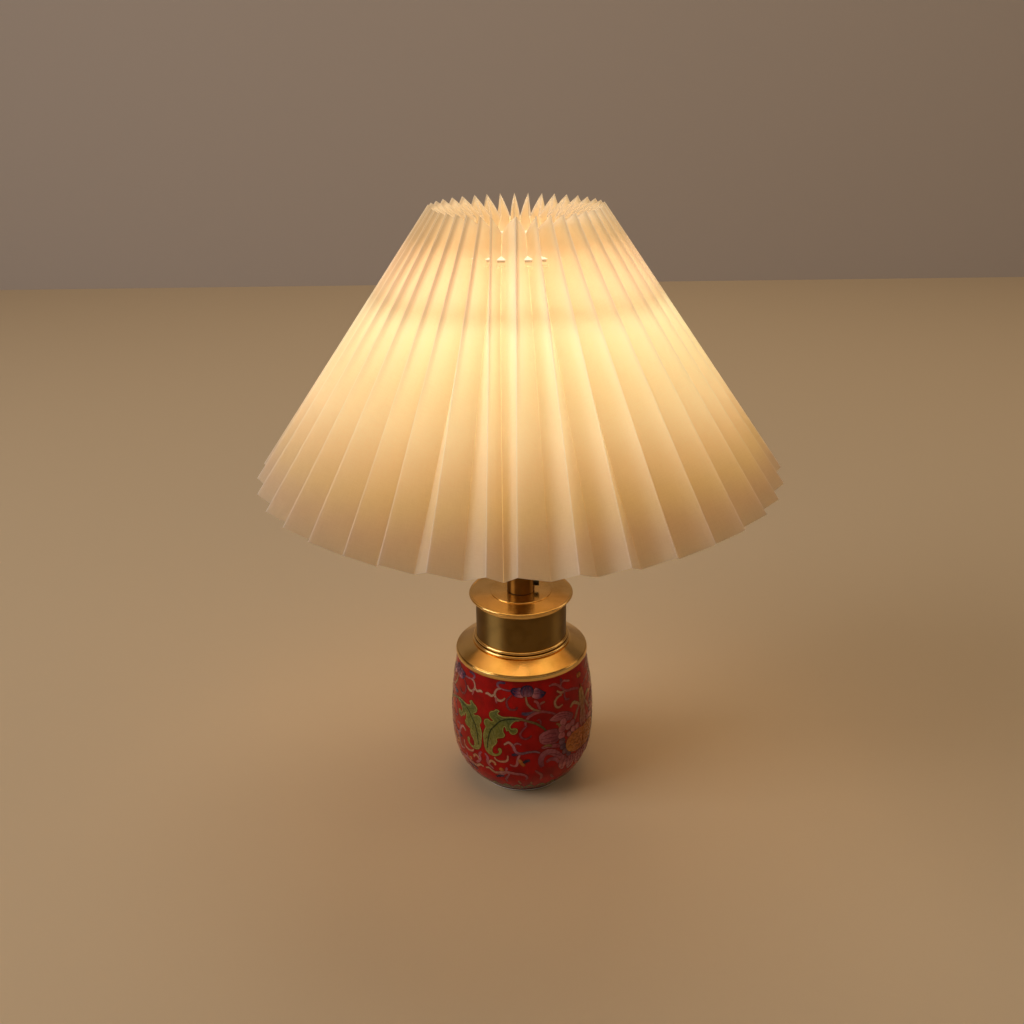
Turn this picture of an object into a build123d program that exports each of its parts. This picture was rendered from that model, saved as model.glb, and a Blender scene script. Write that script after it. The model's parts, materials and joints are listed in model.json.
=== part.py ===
from build123d import *
import math
import os

# Table lamp: glazed ceramic jar with a turned brass cap and neck, a stem that slides in a
# clamped collar, and a pleated cone shade on a wire carrier. Millimetres, +Z up.
# The origin is on the table under the lamp's axis, and -Y is the front.

# Gaps between pieces
running_gap = 0.05
press_gap = 0.02
thread_gap = 0.05
passing_gap = 0.3
clear_gap = 0.3
seat_gap = 0.2
weld_gap = 0.05

# Foot pad and ceramic jar, with the jar's heights counted from its foot ring
pad_thick = 1.0
pad_inset = 0.9
foot_r = 27.6
foot_edge_height = 1.6
foot_edge_flare = 0.6
recess_r = 20.0
recess_depth = 8.0
jar_height = 89.0
jar_top_r = 39.4
belly_r = 44.6
belly_height = 44.0
heel_r = 43.6
heel_height = 28.0
toe_r = 30.5
toe_height = 3.6
jar_wall = 5.0
jar_floor = 5.0
cavity_floor_r = 29.0
mouth_r = 24.0

# Cable inlet at the back of the jar
inlet_r = 3.25
inlet_sleeve = 1.75
inlet_flange = 1.5
inlet_flange_thick = 1.6
inlet_lip_thick = 1.5

# Stem tube with the stop on its lower end
stem_r = 5.0
stem_wall = 1.0
stem_lift = 30.0
stem_drop = 37.3
stop_height = 3.0
stop_gap = 0.35
stop_tail = 0.5

# Tie tube that clamps the base together, with its nut and washer under the jar's floor
tie_wall = 1.55
tie_end_gap = 1.0
tie_nut_flats = 24.0
tie_nut_height = 5.0
tie_washer_r = 15.0
tie_washer_thick = 1.5
tie_past_nut = 0.5
ballast_gap = 1.0
ballast_height = 10.0

# Brass shoulder over the jar's mouth
gasket_thick = 1.2
gasket_inset = 0.9
gasket_width = 6.0
skirt_gap = 0.5
skirt_wall = 0.9
skirt_drop = 2.6
skirt_bulge = 0.4
rim_groove = 0.6
rim_height = 0.9
shoulder_rise = 5.8
shoulder_plate = 2.0
shoulder_ledge = 0.5

# Beads, neck sleeve and flared top plate
neck_r = 27.7
neck_wall = 1.5
neck_height = 22.5
bead_proud = 2.3
bead_height = 2.0
upper_bead_proud = 1.4
upper_bead_height = 2.2
bead_step = 0.9
bead_groove = 0.2
bead_ledge = 3.7
band_proud = 0.7
band_height = 1.5
lip_proud = 4.0
lip_thick = 1.6
lip_round = 0.6
lip_slope = 1.4
cove_height = 1.5
plate_rise = 0.5
plate_spigot = 3.5
spigot_wall = 1.6
spigot_gap = 0.1
plate_thick = 3.5
cover_r = 18.6
cover_thick = 0.5
cover_round = 0.2

# Collar that guides the stem, its washer and its clamp screw
collar_wall = 3.39
collar_height = 16.0
collar_chamfer = 0.8
shank_wall = 1.35
shank_length = 14.0
hole_gap = 0.1
seat_washer_inset = 0.34
seat_washer_thick = 0.4
screw_height = 4.0
screw_r = 1.5
screw_head_r = 1.85
screw_head_length = 2.3
screw_slot_width = 0.6
screw_slot_depth = 0.8

# Lamp bulb with its screw cap
cap_r = 13.1
cap_thread_depth = 0.8
cap_wall = 0.5
cap_threads = 5
cap_collar = 3.2
thread_pitch = 3.62
tip_r = 4.5
tip_height = 1.8
insulator_height = 4.0
bulb_globe_r = 30.0
bulb_light_height = 77.0
bulb_glass = 1.0
neck_turn = 40.0
glass_in_cap = 8.0
glass_gap = 0.1
mount_flare_height = 4.0
mount_post_r = 3.0
mount_disc_edge = 0.8
mount_disc_thick = 1.5
filament_foot_drop = 20.0
filament_length = 34.0
filament_r = 1.2
filament_circle_r = 8.0
filament_count = 4

# Lampholder on top of the stem
lock_nut_flats = 14.0
lock_nut_height = 4.0
holder_wall = 2.3
holder_room = 2.4
dome_foot_r = 12.0
dome_rise = 12.0
dome_height = 17.5
dome_floor = 4.0
stem_grip = 8.0
shell_height = 32.0
flange_height = 12.0
flange_proud = 3.5
flange_thick = 2.0
core_thick = 4.0
contact_wall = 0.5
contact_depth = 0.9
contact_height = 25.0
tongue_width = 6.0
tongue_thick = 0.5
tongue_rise = 2.5
tongue_run = 9.0
terminal_r = 3.0
terminal_height = 2.2
terminal_shank_r = 1.5
terminal_spread = 10.0

# Wire carrier of the shade, with its ring nut
hub_hole_gap = 0.5
hub_thick = 1.5
hub_edge = 2.2
nut_wall = 4.2
nut_height = 7.0
nut_flutes = 18
nut_flute_r = 1.2
nut_room = 2.3
leg_r = 1.5
leg_count = 3
hoop_wire_r = 1.25
hoop_rise = 87.3
strut_shift = 6.0
strut_inset = 1.6
ring_rise = 27.3
top_ring_thick = 1.5
top_ring_proud = 7.0
top_ring_width = 12.0

# Pleated shade, a folded sheet whose ridges lie on a cone
shade_rise = 22.7
shade_height = 146.6
ridge_top_r = 47.4
ridge_bottom_r = 150.0
sheet_thick = 0.4
panel_width = 19.5
pleat_count = 38
seam_pitch = 5.2
seam_angle = -3.2
notch_depth = 7.0
notch_height = 4.0
cut_margin = 3.0
wall_sections = 4

bottom = (Align.CENTER, Align.CENTER, Align.MIN)


def turn(*edges):
    # Solid of revolution about the lamp's axis, from an outline in radius and height.
    return revolve(Plane.XZ * make_face(edges), Axis.Z)


def turn_points(*points):
    return turn(*Polyline(*points, close=True).edges())


def ring(inner_r, outer_r, low, high):
    return turn_points((inner_r, low), (outer_r, low), (outer_r, high), (inner_r, high))


def hex_nut(flats, hole_r, low, height):
    blank = extrude(RegularPolygon(flats / 2, 6, major_radius=False), height)
    return Pos(0, 0, low) * (blank - Cylinder(hole_r, height, align=bottom))


def rod(start, end, radius):
    # Round bar between two points.
    run = Vector(*end) - Vector(*start)
    return Plane(origin=start, z_dir=run) * Cylinder(radius, run.length, align=bottom)


def polar(radius, angle, height):
    # Point at an angle in degrees from the front, growing to the right.
    turned = math.radians(angle)
    return (radius * math.sin(turned), -radius * math.cos(turned), height)


def along(low, high, height):
    # Radius at which the line through two points, in radius and height, has a height.
    share = (height - low[1]) / (high[1] - low[1])
    return low[0] + share * (high[0] - low[0])


def thread_outline(start_z, root_r, crest_r, count):
    # Round thread drawn as closed rings: one arc out and one arc in for each pitch.
    edges = []
    middle_r = (root_r + crest_r) / 2
    for index in range(count):
        low = start_z + index * thread_pitch
        middle = low + thread_pitch / 2
        high = low + thread_pitch
        edges.append(ThreePointArc((middle_r, low), (crest_r, low + thread_pitch / 4), (middle_r, middle)))
        edges.append(ThreePointArc((middle_r, middle), (root_r, middle + thread_pitch / 4), (middle_r, high)))
    return edges


parts = {}

# Heights of the base, from the table upwards
foot_z = pad_thick
recess_z = foot_z + recess_depth
floor_z = recess_z + jar_floor
heel_z = foot_z + heel_height
belly_z = foot_z + belly_height
jar_top_z = foot_z + jar_height
seat_z = jar_top_z + gasket_thick
shoulder_z = seat_z + shoulder_rise
groove_z = shoulder_z + bead_height
upper_bead_z = groove_z + bead_groove
beads_z = upper_bead_z + upper_bead_height
neck_top_z = beads_z + neck_height
band_top_z = neck_top_z + band_height
cove_top_z = band_top_z + cove_height
lip_z = cove_top_z + lip_thick
plate_top_z = lip_z + plate_rise
plate_z = plate_top_z - plate_thick
cover_z = plate_top_z + cover_thick
collar_z = cover_z + seat_washer_thick
collar_top_z = collar_z + collar_height
shank_z = collar_z - shank_length

# Radii of the pieces that slide or screw into each other on the axis
guide_r = stem_r + running_gap
shank_r = guide_r + shank_wall
collar_r = guide_r + collar_wall
tie_bore_r = shank_r + thread_gap
tie_r = tie_bore_r + tie_wall
tie_hole_r = tie_r + passing_gap

parts["foot_pad"] = ring(recess_r + pad_inset, foot_r - pad_inset, 0, pad_thick)

# Ceramic jar: foot ring, round toe, belly and a flat top with a mouth
belly_arc = TangentArc((belly_r, belly_z), (heel_r, heel_z), tangent=(0, -1))
toe_arc = TangentArc(belly_arc @ 1, (toe_r, foot_z + toe_height), tangent=belly_arc % 1)
side_arc = TangentArc((belly_r, belly_z), (jar_top_r, jar_top_z), tangent=(0, 1))
foot_edge = (foot_r + foot_edge_flare, foot_z + foot_edge_height)
jar_blank = turn(
    belly_arc,
    toe_arc,
    Polyline(toe_arc @ 1, foot_edge, (foot_r, foot_z), (0, foot_z)),
    side_arc,
    Polyline((jar_top_r, jar_top_z), (0, jar_top_z), (0, foot_z)),
)
cavity_belly_r = belly_r - jar_wall
cavity_heel_r = heel_r - jar_wall
cavity_top_r = jar_top_r - jar_wall
cavity_top_z = jar_top_z - jar_wall
cavity_belly = TangentArc((cavity_belly_r, belly_z), (cavity_heel_r, heel_z), tangent=(0, -1))
cavity = turn(
    cavity_belly,
    TangentArc(cavity_belly @ 1, (cavity_floor_r, floor_z), tangent=cavity_belly % 1),
    Line((cavity_floor_r, floor_z), (0, floor_z)),
    TangentArc((cavity_belly_r, belly_z), (cavity_top_r, cavity_top_z), tangent=(0, 1)),
    Polyline((cavity_top_r, cavity_top_z), (0, cavity_top_z), (0, floor_z)),
)
jar = jar_blank - cavity
jar -= ring(0, mouth_r, cavity_top_z, jar_top_z)
jar -= ring(0, recess_r, foot_z, recess_z)
jar -= ring(0, tie_hole_r, recess_z, floor_z)

# Cable inlet, square to the jar's wall at the heel on the back
inlet_seat_r = inlet_r + inlet_sleeve
inlet_lean = 2 * math.atan((belly_r - heel_r) / (belly_height - heel_height))
inlet_dir = Vector(0, math.cos(inlet_lean), -math.sin(inlet_lean))
inlet_at = Vector(0, heel_r, heel_z)
inlet_in = inlet_at - inlet_dir * (jar_wall + inlet_lip_thick)
inlet_out = inlet_at + inlet_dir * inlet_flange_thick
jar -= rod(inlet_in, inlet_out, inlet_seat_r)
parts["ceramic_body"] = jar
inlet_blank = rod(inlet_in, inlet_out, inlet_seat_r + inlet_flange) - rod(inlet_in, inlet_out, inlet_r)
parts["cable_grommet"] = inlet_blank - jar

# Tie tube with a side hole for the cable, its washer and nut, and the ballast on the jar's floor
washer_z = recess_z - tie_washer_thick
nut_z = washer_z - tie_nut_height
tie_tube = ring(tie_bore_r, tie_r, nut_z - tie_past_nut, plate_z - tie_end_gap)
parts["tie_tube"] = tie_tube - rod((0, 0, heel_z), (0, 2 * tie_r, heel_z), inlet_r)
parts["foot_washer"] = ring(tie_hole_r, tie_washer_r, washer_z, recess_z)
parts["foot_nut"] = hex_nut(tie_nut_flats, tie_r + thread_gap, nut_z, tie_nut_height)
parts["ballast_ring"] = ring(tie_hole_r, mouth_r - ballast_gap, floor_z, floor_z + ballast_height)

# Gasket and brass shoulder with a rounded rim that hangs over the jar's edge
neck_bore_r = neck_r - neck_wall
bead_r = neck_r + bead_proud
bead_hole_r = neck_bore_r - bead_ledge
shoulder_hole_r = bead_hole_r - shoulder_ledge
gasket_r = jar_top_r - gasket_inset
gasket_hole_r = gasket_r - gasket_width
parts["shoulder_gasket"] = ring(gasket_hole_r, gasket_r, jar_top_z, seat_z)
skirt_r = jar_top_r + skirt_gap
skirt_z = seat_z - skirt_drop
rim_z = seat_z + rim_height - rim_groove
rim_r = skirt_r + skirt_wall - skirt_bulge
rim_bulge = (rim_r + skirt_bulge, (rim_z + skirt_z) / 2)
cone_foot_r = rim_r - rim_groove
parts["shoulder_cap"] = turn(
    Polyline(
        (rim_r, skirt_z),
        (skirt_r, skirt_z),
        (skirt_r, seat_z),
        (gasket_hole_r, seat_z),
        (gasket_hole_r, shoulder_z - shoulder_plate),
        (shoulder_hole_r, shoulder_z - shoulder_plate),
        (shoulder_hole_r, shoulder_z),
        (bead_r + rim_groove, shoulder_z),
        (cone_foot_r, rim_z + rim_groove),
        (cone_foot_r, rim_z),
        (rim_r, rim_z),
    ),
    ThreePointArc((rim_r, rim_z), rim_bulge, (rim_r, skirt_z)),
)

# Two turned beads under the neck sleeve
upper_bead_r = neck_r + upper_bead_proud
bead_root_r = bead_r - bead_step
upper_root_r = upper_bead_r - bead_step
bead_crest = (bead_r, (shoulder_z + groove_z) / 2)
upper_crest = (upper_bead_r, (upper_bead_z + beads_z) / 2)
parts["bead_ring"] = turn(
    ThreePointArc((bead_root_r, shoulder_z), bead_crest, (bead_root_r, groove_z)),
    Polyline((bead_root_r, groove_z), (upper_root_r, groove_z), (upper_root_r, upper_bead_z)),
    ThreePointArc((upper_root_r, upper_bead_z), upper_crest, (upper_root_r, beads_z)),
    Polyline(
        (upper_root_r, beads_z), (bead_hole_r, beads_z), (bead_hole_r, shoulder_z), (bead_root_r, shoulder_z)
    ),
)
parts["neck_sleeve"] = ring(neck_bore_r, neck_r, beads_z, neck_top_z)

# Top plate: band, cove, beaded lip and a low cone up to the disc's seat, with a spigot inside the neck
spigot_r = neck_bore_r - spigot_gap
spigot_bore_r = spigot_r - spigot_wall
spigot_z = neck_top_z - plate_spigot
shank_hole_r = shank_r + hole_gap
band_r = neck_r + band_proud
lip_r = neck_r + lip_proud
lip_root_r = lip_r - lip_round
lip_edge = (lip_r, cove_top_z + lip_round)
lip_crease = (lip_r - lip_slope, lip_z)
parts["top_plate"] = turn(
    TangentArc((band_r, band_top_z), (lip_root_r, cove_top_z), tangent=(0, 1)),
    ThreePointArc((lip_root_r, cove_top_z), lip_edge, lip_crease),
    Polyline(
        lip_crease,
        (cover_r, plate_top_z),
        (shank_hole_r, plate_top_z),
        (shank_hole_r, plate_z),
        (spigot_bore_r, plate_z),
        (spigot_bore_r, spigot_z),
        (spigot_r, spigot_z),
        (spigot_r, neck_top_z),
        (band_r, neck_top_z),
        (band_r, band_top_z),
    ),
)
cover_disc = ring(shank_hole_r, cover_r, plate_top_z, cover_z)
cover_rim = cover_disc.edges().group_by(Axis.Z)[-1].sort_by(SortBy.RADIUS)[-1]
parts["cover_disc"] = fillet(cover_rim, cover_round)
parts["seat_washer"] = ring(shank_hole_r, collar_r - seat_washer_inset, cover_z, collar_z)

# Stem collar with a shank screwed into the tie tube, and the cross hole of the clamp screw
screw_z = collar_z + screw_height
screw_seat_x = collar_r + clear_gap
screw_end_x = screw_seat_x + screw_head_length
collar = turn_points(
    (guide_r, shank_z),
    (shank_r, shank_z),
    (shank_r, collar_z),
    (collar_r, collar_z),
    (collar_r, collar_top_z - collar_chamfer),
    (collar_r - collar_chamfer, collar_top_z),
    (guide_r, collar_top_z),
)
parts["stem_collar"] = collar - rod((0, 0, screw_z), (2 * collar_r, 0, screw_z), screw_r + running_gap)
clamp_screw = rod((stem_r + clear_gap, 0, screw_z), (screw_seat_x, 0, screw_z), screw_r)
clamp_screw += rod((screw_seat_x, 0, screw_z), (screw_end_x, 0, screw_z), screw_head_r)
screw_slot = Box(2 * screw_slot_depth, screw_slot_width, 2 * screw_head_r)
parts["clamp_screw"] = clamp_screw - Pos(screw_end_x, 0, screw_z) * screw_slot

# Stem tube, the stop on its lower end and the nut under the lampholder
stop_top_z = shank_z - stem_lift - clear_gap
stop_z = stop_top_z - stop_height
lock_nut_z = collar_top_z + stem_drop + clear_gap
holder_z = lock_nut_z + lock_nut_height
stem_press_r = stem_r + press_gap
parts["stem_tube"] = ring(stem_r - stem_wall, stem_r, stop_z - stop_tail, holder_z + stem_grip)
parts["stem_stop"] = ring(stem_press_r, tie_bore_r - stop_gap, stop_z, stop_top_z)
parts["lock_nut"] = hex_nut(lock_nut_flats, stem_press_r, lock_nut_z, lock_nut_height)

# Lampholder: domed cap, outer shell with a seat flange, core, screw contact and centre tongue
contact_r = cap_r + clear_gap
contact_mid_r = contact_r + contact_depth / 2
contact_out_r = contact_r + contact_depth + contact_wall
holder_bore_r = contact_out_r + holder_room
holder_r = holder_bore_r + holder_wall
dome_z = holder_z + dome_rise
shell_z = holder_z + dome_height
shell_top_z = shell_z + shell_height
parts["holder_cap"] = turn(
    TangentArc((holder_r, dome_z), (dome_foot_r, holder_z), tangent=(0, -1)),
    Polyline(
        (dome_foot_r, holder_z),
        (stem_press_r, holder_z),
        (stem_press_r, holder_z + dome_floor),
        (dome_foot_r, holder_z + dome_floor),
        (holder_bore_r, dome_z),
        (holder_bore_r, shell_z),
        (holder_r, shell_z),
        (holder_r, dome_z),
    ),
)
flange_z = shell_z + flange_height
flange_top_z = flange_z + flange_thick
flange_r = holder_r + flange_proud
parts["holder_shell"] = turn_points(
    (holder_bore_r, shell_z),
    (holder_r, shell_z),
    (holder_r, flange_z),
    (flange_r, flange_z),
    (flange_r, flange_top_z),
    (holder_r, flange_top_z),
    (holder_r, shell_top_z),
    (holder_bore_r, shell_top_z),
)
core_top_z = shell_z + core_thick
terminal_places = [Pos(side * terminal_spread, 0, shell_z) for side in (-1, 1)]
terminal_hole = Cylinder(terminal_shank_r + running_gap, core_thick, align=bottom)
core = ring(0, holder_bore_r - running_gap, shell_z, core_top_z)
parts["holder_core"] = core - [place * terminal_hole for place in terminal_places]
terminal = Cylinder(terminal_shank_r, core_thick, align=bottom)
terminal += Pos(0, 0, -terminal_height) * Cylinder(terminal_r, terminal_height, align=bottom)
parts["terminal_screws"] = Compound([place * terminal for place in terminal_places])
contact_threads = int(contact_height / thread_pitch) - 1
contact_top_z = core_top_z + contact_height
thread_foot_z = core_top_z + thread_pitch / 2
parts["screw_contact"] = turn(
    Line((contact_mid_r, core_top_z), (contact_mid_r, thread_foot_z)),
    *thread_outline(thread_foot_z, contact_r, contact_r + contact_depth, contact_threads),
    Polyline(
        (contact_mid_r, thread_foot_z + contact_threads * thread_pitch),
        (contact_mid_r, contact_top_z),
        (contact_out_r, contact_top_z),
        (contact_out_r, core_top_z),
        (contact_mid_r, core_top_z),
    ),
)
tongue_top_z = core_top_z + tongue_rise
tongue_bend = -tongue_run / 2
tongue_side = Polyline(
    (-tongue_run, core_top_z),
    (tongue_bend, core_top_z),
    (tip_r, tongue_top_z - tongue_thick),
    (tip_r, tongue_top_z),
    (0, tongue_top_z),
    (tongue_bend - tongue_thick, core_top_z + tongue_thick),
    (-tongue_run, core_top_z + tongue_thick),
    close=True,
)
parts["centre_contact"] = extrude(Plane.XZ * make_face(tongue_side), tongue_width / 2, both=True)

# Bulb: contact tip, insulator, threaded cap, glass and the filaments on their mount
tip_z = tongue_top_z + clear_gap
insulator_z = tip_z + tip_height
cap_z = insulator_z + insulator_height
cap_thread_top_z = cap_z + cap_threads * thread_pitch
cap_top_z = cap_thread_top_z + cap_collar
cap_root_r = cap_r - cap_thread_depth
cap_mid_r = cap_r - cap_thread_depth / 2
cap_bore_r = cap_root_r - cap_wall
parts["bulb_tip"] = turn(
    TangentArc((0, tip_z), (tip_r, insulator_z), tangent=(1, 0)),
    Polyline((tip_r, insulator_z), (0, insulator_z), (0, tip_z)),
)
parts["bulb_insulator"] = turn_points(
    (0, insulator_z), (tip_r + cap_wall, insulator_z), (cap_bore_r, cap_z), (0, cap_z)
)
parts["bulb_cap"] = turn(
    *thread_outline(cap_z, cap_root_r, cap_r, cap_threads),
    Polyline(
        (cap_mid_r, cap_thread_top_z),
        (cap_mid_r, cap_top_z),
        (cap_bore_r, cap_top_z),
        (cap_bore_r, cap_z),
        (cap_mid_r, cap_z),
    ),
)
globe_z = tip_z + bulb_light_height
glass_neck_r = cap_bore_r - glass_gap
glass_bore_r = glass_neck_r - bulb_glass
glass_foot_z = cap_top_z - glass_in_cap
inner_globe_r = bulb_globe_r - bulb_glass


def glass_outline(globe_r, upright_r):
    # Globe arc from its top to below its middle, and the curve that brings it upright at the neck.
    leave_turn = math.radians(neck_turn)
    leave = (globe_r * math.cos(leave_turn), globe_z - globe_r * math.sin(leave_turn))
    upright_z = leave[1] - (leave[0] - upright_r) / math.tan(leave_turn / 2)
    globe = ThreePointArc((0, globe_z + globe_r), (globe_r, globe_z), leave)
    neck = TangentArc(leave, (upright_r, upright_z), tangent=globe % 1)
    return [globe, neck, Line((upright_r, upright_z), (upright_r, glass_foot_z))]


parts["bulb_glass"] = turn(
    *glass_outline(bulb_globe_r, glass_neck_r),
    Line((glass_neck_r, glass_foot_z), (glass_bore_r, glass_foot_z)),
    *glass_outline(inner_globe_r, glass_bore_r),
    Line((0, globe_z + inner_globe_r), (0, globe_z + bulb_globe_r)),
)
filament_z = globe_z - filament_foot_drop
filament_top_z = filament_z + filament_length
mount_top_z = filament_top_z + mount_disc_thick
mount_disc_r = filament_circle_r + filament_r + mount_disc_edge
mount = ring(0, glass_bore_r - glass_gap, glass_foot_z, glass_foot_z + mount_flare_height)
mount += ring(0, mount_post_r, glass_foot_z, mount_top_z)
mount += ring(0, mount_disc_r, filament_z - mount_disc_thick, filament_z)
parts["filament_mount"] = mount + ring(0, mount_disc_r, filament_top_z, mount_top_z)
filament = Cylinder(filament_r, filament_length, align=bottom)
filament_angles = [360 * index / filament_count for index in range(filament_count)]
filaments = [Pos(*polar(filament_circle_r, angle, filament_z)) * filament for angle in filament_angles]
parts["filaments"] = Compound(filaments)

# Carrier hub on the lampholder's flange, and the fluted ring nut above it
nut_r = holder_r + clear_gap + nut_wall
leg_foot_r = nut_r + nut_room + leg_r
hub_z = flange_top_z + seat_gap
hub_top_z = hub_z + hub_thick
parts["carrier_hub"] = ring(holder_r + hub_hole_gap, leg_foot_r + hub_edge, hub_z, hub_top_z)
ring_nut_z = hub_top_z + seat_gap
ring_nut = ring(holder_r + clear_gap, nut_r, ring_nut_z, ring_nut_z + nut_height)
flute = Cylinder(nut_flute_r, nut_height, align=bottom)
flute_angles = [360 * index / nut_flutes for index in range(nut_flutes)]
parts["shade_ring_nut"] = ring_nut - [Pos(*polar(nut_r, angle, ring_nut_z)) * flute for angle in flute_angles]

# Fold lines of the shade in radius and height: ridges, and valleys one panel width away
hoop_z = hub_top_z + hoop_rise
top_ring_z = hoop_z + ring_rise
top_ring_top_z = top_ring_z + top_ring_thick
shade_top_z = top_ring_z + shade_rise
shade_bottom_z = shade_top_z - shade_height
ridge_high = (ridge_top_r, shade_top_z)
ridge_low = (ridge_bottom_r, shade_bottom_z)
slant = Vector(ridge_bottom_r - ridge_top_r, -shade_height).normalized()
inward = Vector(slant.Y, -slant.X)
pleat_pitch = (360 - seam_pitch) / (pleat_count - 1)


def fold_depth(radius):
    # Depth square to the slant that leaves a panel its width, half a pleat round from the ridge.
    opening = 1 - math.cos(math.radians(pleat_pitch / 2))
    lean = -opening * radius * inward.X
    return lean + math.sqrt(lean**2 - 2 * opening * radius**2 + panel_width**2)


def square_to_slant(ridge, depth):
    return (ridge[0] + depth * inward.X, ridge[1] + depth * inward.Y)


valley_low = square_to_slant(ridge_low, fold_depth(ridge_bottom_r))
valley_high = square_to_slant(ridge_high, fold_depth(ridge_top_r))


def shrink(points, amount):
    # The same closed zigzag moved inwards by the sheet's thickness, corner by corner.
    moved = []
    for before, here, after in zip(points[-1:] + points[:-1], points, points[1:] + points[:1]):
        came = (here - before).normalized()
        goes = (after - here).normalized()
        came_side = Vector(-came.Y, came.X)
        middle = (came_side + Vector(-goes.Y, goes.X)).normalized()
        moved.append(here + middle * (amount / middle.dot(came_side)))
    return moved


def pleat_points(height, inset):
    # Level section through the folds: the narrow seam pleat first, then the others round to it.
    points = []
    angle = seam_angle - seam_pitch / 2
    for index in range(pleat_count):
        pitch = pleat_pitch if index else seam_pitch
        points.append(Vector(*polar(along(ridge_low, ridge_high, height), angle, height)))
        points.append(Vector(*polar(along(valley_low, valley_high, height), angle + pitch / 2, height)))
        angle += pitch
    return shrink(points, inset)


def pleat_section(height, inset):
    return make_face(Polyline(*pleat_points(height, inset), close=True))


# Pleated shade: the folded sheet between two zigzag cones, trimmed square to its slant
deepest = fold_depth(ridge_top_r) + cut_margin
low_z = shade_bottom_z + deepest * inward.Y - cut_margin
high_z = shade_top_z + cut_margin
outside = loft([pleat_section(low_z, 0), pleat_section(high_z, 0)], ruled=True)
bore_low_z = low_z - cut_margin
bore_step = (high_z + cut_margin - bore_low_z) / (wall_sections - 1)
bore_levels = [bore_low_z + index * bore_step for index in range(wall_sections)]
inside = loft([pleat_section(level, sheet_thick) for level in bore_levels], ruled=True)
trim = turn_points(
    square_to_slant(ridge_high, -cut_margin),
    square_to_slant(ridge_low, -cut_margin),
    square_to_slant(ridge_low, deepest),
    square_to_slant(ridge_high, deepest),
)
notch_top_z = top_ring_top_z + clear_gap
notch_z = notch_top_z - notch_height
notch_r = along(valley_low, valley_high, notch_z) + notch_depth
top_ring_r = along(valley_low, valley_high, top_ring_z) + top_ring_proud
top_ring_hole_r = top_ring_r - top_ring_width
notches = ring(top_ring_hole_r, notch_r, notch_z, notch_top_z)
parts["pleated_shade"] = ((outside - inside) & trim) - notches

# Two hoops that carry the shade: a flat ring in its notches and a wire in its valleys
parts["top_ring"] = ring(top_ring_hole_r, top_ring_r, top_ring_z, top_ring_top_z)
valley_bore_r = min(math.hypot(point.X, point.Y) for point in pleat_points(hoop_z, sheet_thick))
hoop_r = valley_bore_r + (hoop_wire_r + clear_gap) / inward.X
parts["lower_hoop"] = Pos(0, 0, hoop_z) * Torus(hoop_r, hoop_wire_r)

# Legs from the hub past the inside of the lower hoop, and struts from there up to the top ring
hoop_point = Vector(hoop_r, hoop_z)
weld_reach = hoop_wire_r + leg_r + weld_gap


def beside_hoop(far):
    # Point where a wire from a far point passes the hoop's wire on its inner side.
    run = hoop_point - far
    swing = math.asin(weld_reach / run.length)
    heading = math.atan2(run.Y, run.X) + math.copysign(swing, run.Y)
    return far + Vector(math.cos(heading), math.sin(heading)) * math.sqrt(run.length**2 - weld_reach**2)


def carrier_wires(far, shift, keep):
    # Wires from the hoop to a far point, cut level there, one for each leg.
    near = beside_hoop(far)
    run = (near - far).normalized()
    start = far - run * (2 * leg_r)
    end = near + run * leg_r
    wires = []
    for index in range(leg_count):
        angle = 180 + 360 * index / leg_count + shift
        wire = rod(polar(start.X, angle, start.Y), polar(end.X, angle, end.Y), leg_r)
        wires.append(split(wire, Plane.XY.offset(far.Y), keep=keep))
    return Compound(wires)


parts["carrier_legs"] = carrier_wires(Vector(leg_foot_r, hub_top_z), 0, Keep.TOP)
strut_head = Vector(top_ring_hole_r + strut_inset, top_ring_z)
parts["carrier_struts"] = carrier_wires(strut_head, strut_shift, Keep.BOTTOM)

os.makedirs("parts", exist_ok=True)
for name, shape in parts.items():
    export_step(shape, f"parts/{name}.step")
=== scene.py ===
import json
import math
import random
from functools import partial
import bpy
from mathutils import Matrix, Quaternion, Vector


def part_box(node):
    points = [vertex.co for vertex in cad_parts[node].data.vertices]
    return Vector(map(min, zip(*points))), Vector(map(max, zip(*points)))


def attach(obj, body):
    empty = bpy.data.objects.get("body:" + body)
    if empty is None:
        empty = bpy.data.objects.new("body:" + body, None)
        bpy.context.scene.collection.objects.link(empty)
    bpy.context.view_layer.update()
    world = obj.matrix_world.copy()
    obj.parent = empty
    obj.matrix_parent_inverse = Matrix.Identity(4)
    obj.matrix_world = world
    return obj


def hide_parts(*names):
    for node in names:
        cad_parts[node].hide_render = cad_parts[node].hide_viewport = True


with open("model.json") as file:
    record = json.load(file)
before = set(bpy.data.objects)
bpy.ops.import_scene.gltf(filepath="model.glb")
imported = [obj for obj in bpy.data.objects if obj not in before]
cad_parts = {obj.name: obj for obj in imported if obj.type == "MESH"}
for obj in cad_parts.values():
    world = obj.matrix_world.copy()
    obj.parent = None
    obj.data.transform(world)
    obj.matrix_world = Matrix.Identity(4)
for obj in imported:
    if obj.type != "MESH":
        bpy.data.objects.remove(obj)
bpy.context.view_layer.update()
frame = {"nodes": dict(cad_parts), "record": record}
nodes = frame["nodes"]
mm = 0.001
print("frame:", len(nodes), "nodes")


# camera, solved from the shade's two rims and the brass rings
cameraView = {
    "place": (0.0, -0.6002, 0.4342), "pitch": 22.90, "yaw": -0.453, "roll": -0.823,    # metres and degrees
    "lens": 38.67, "sensor": 36,
}


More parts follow.
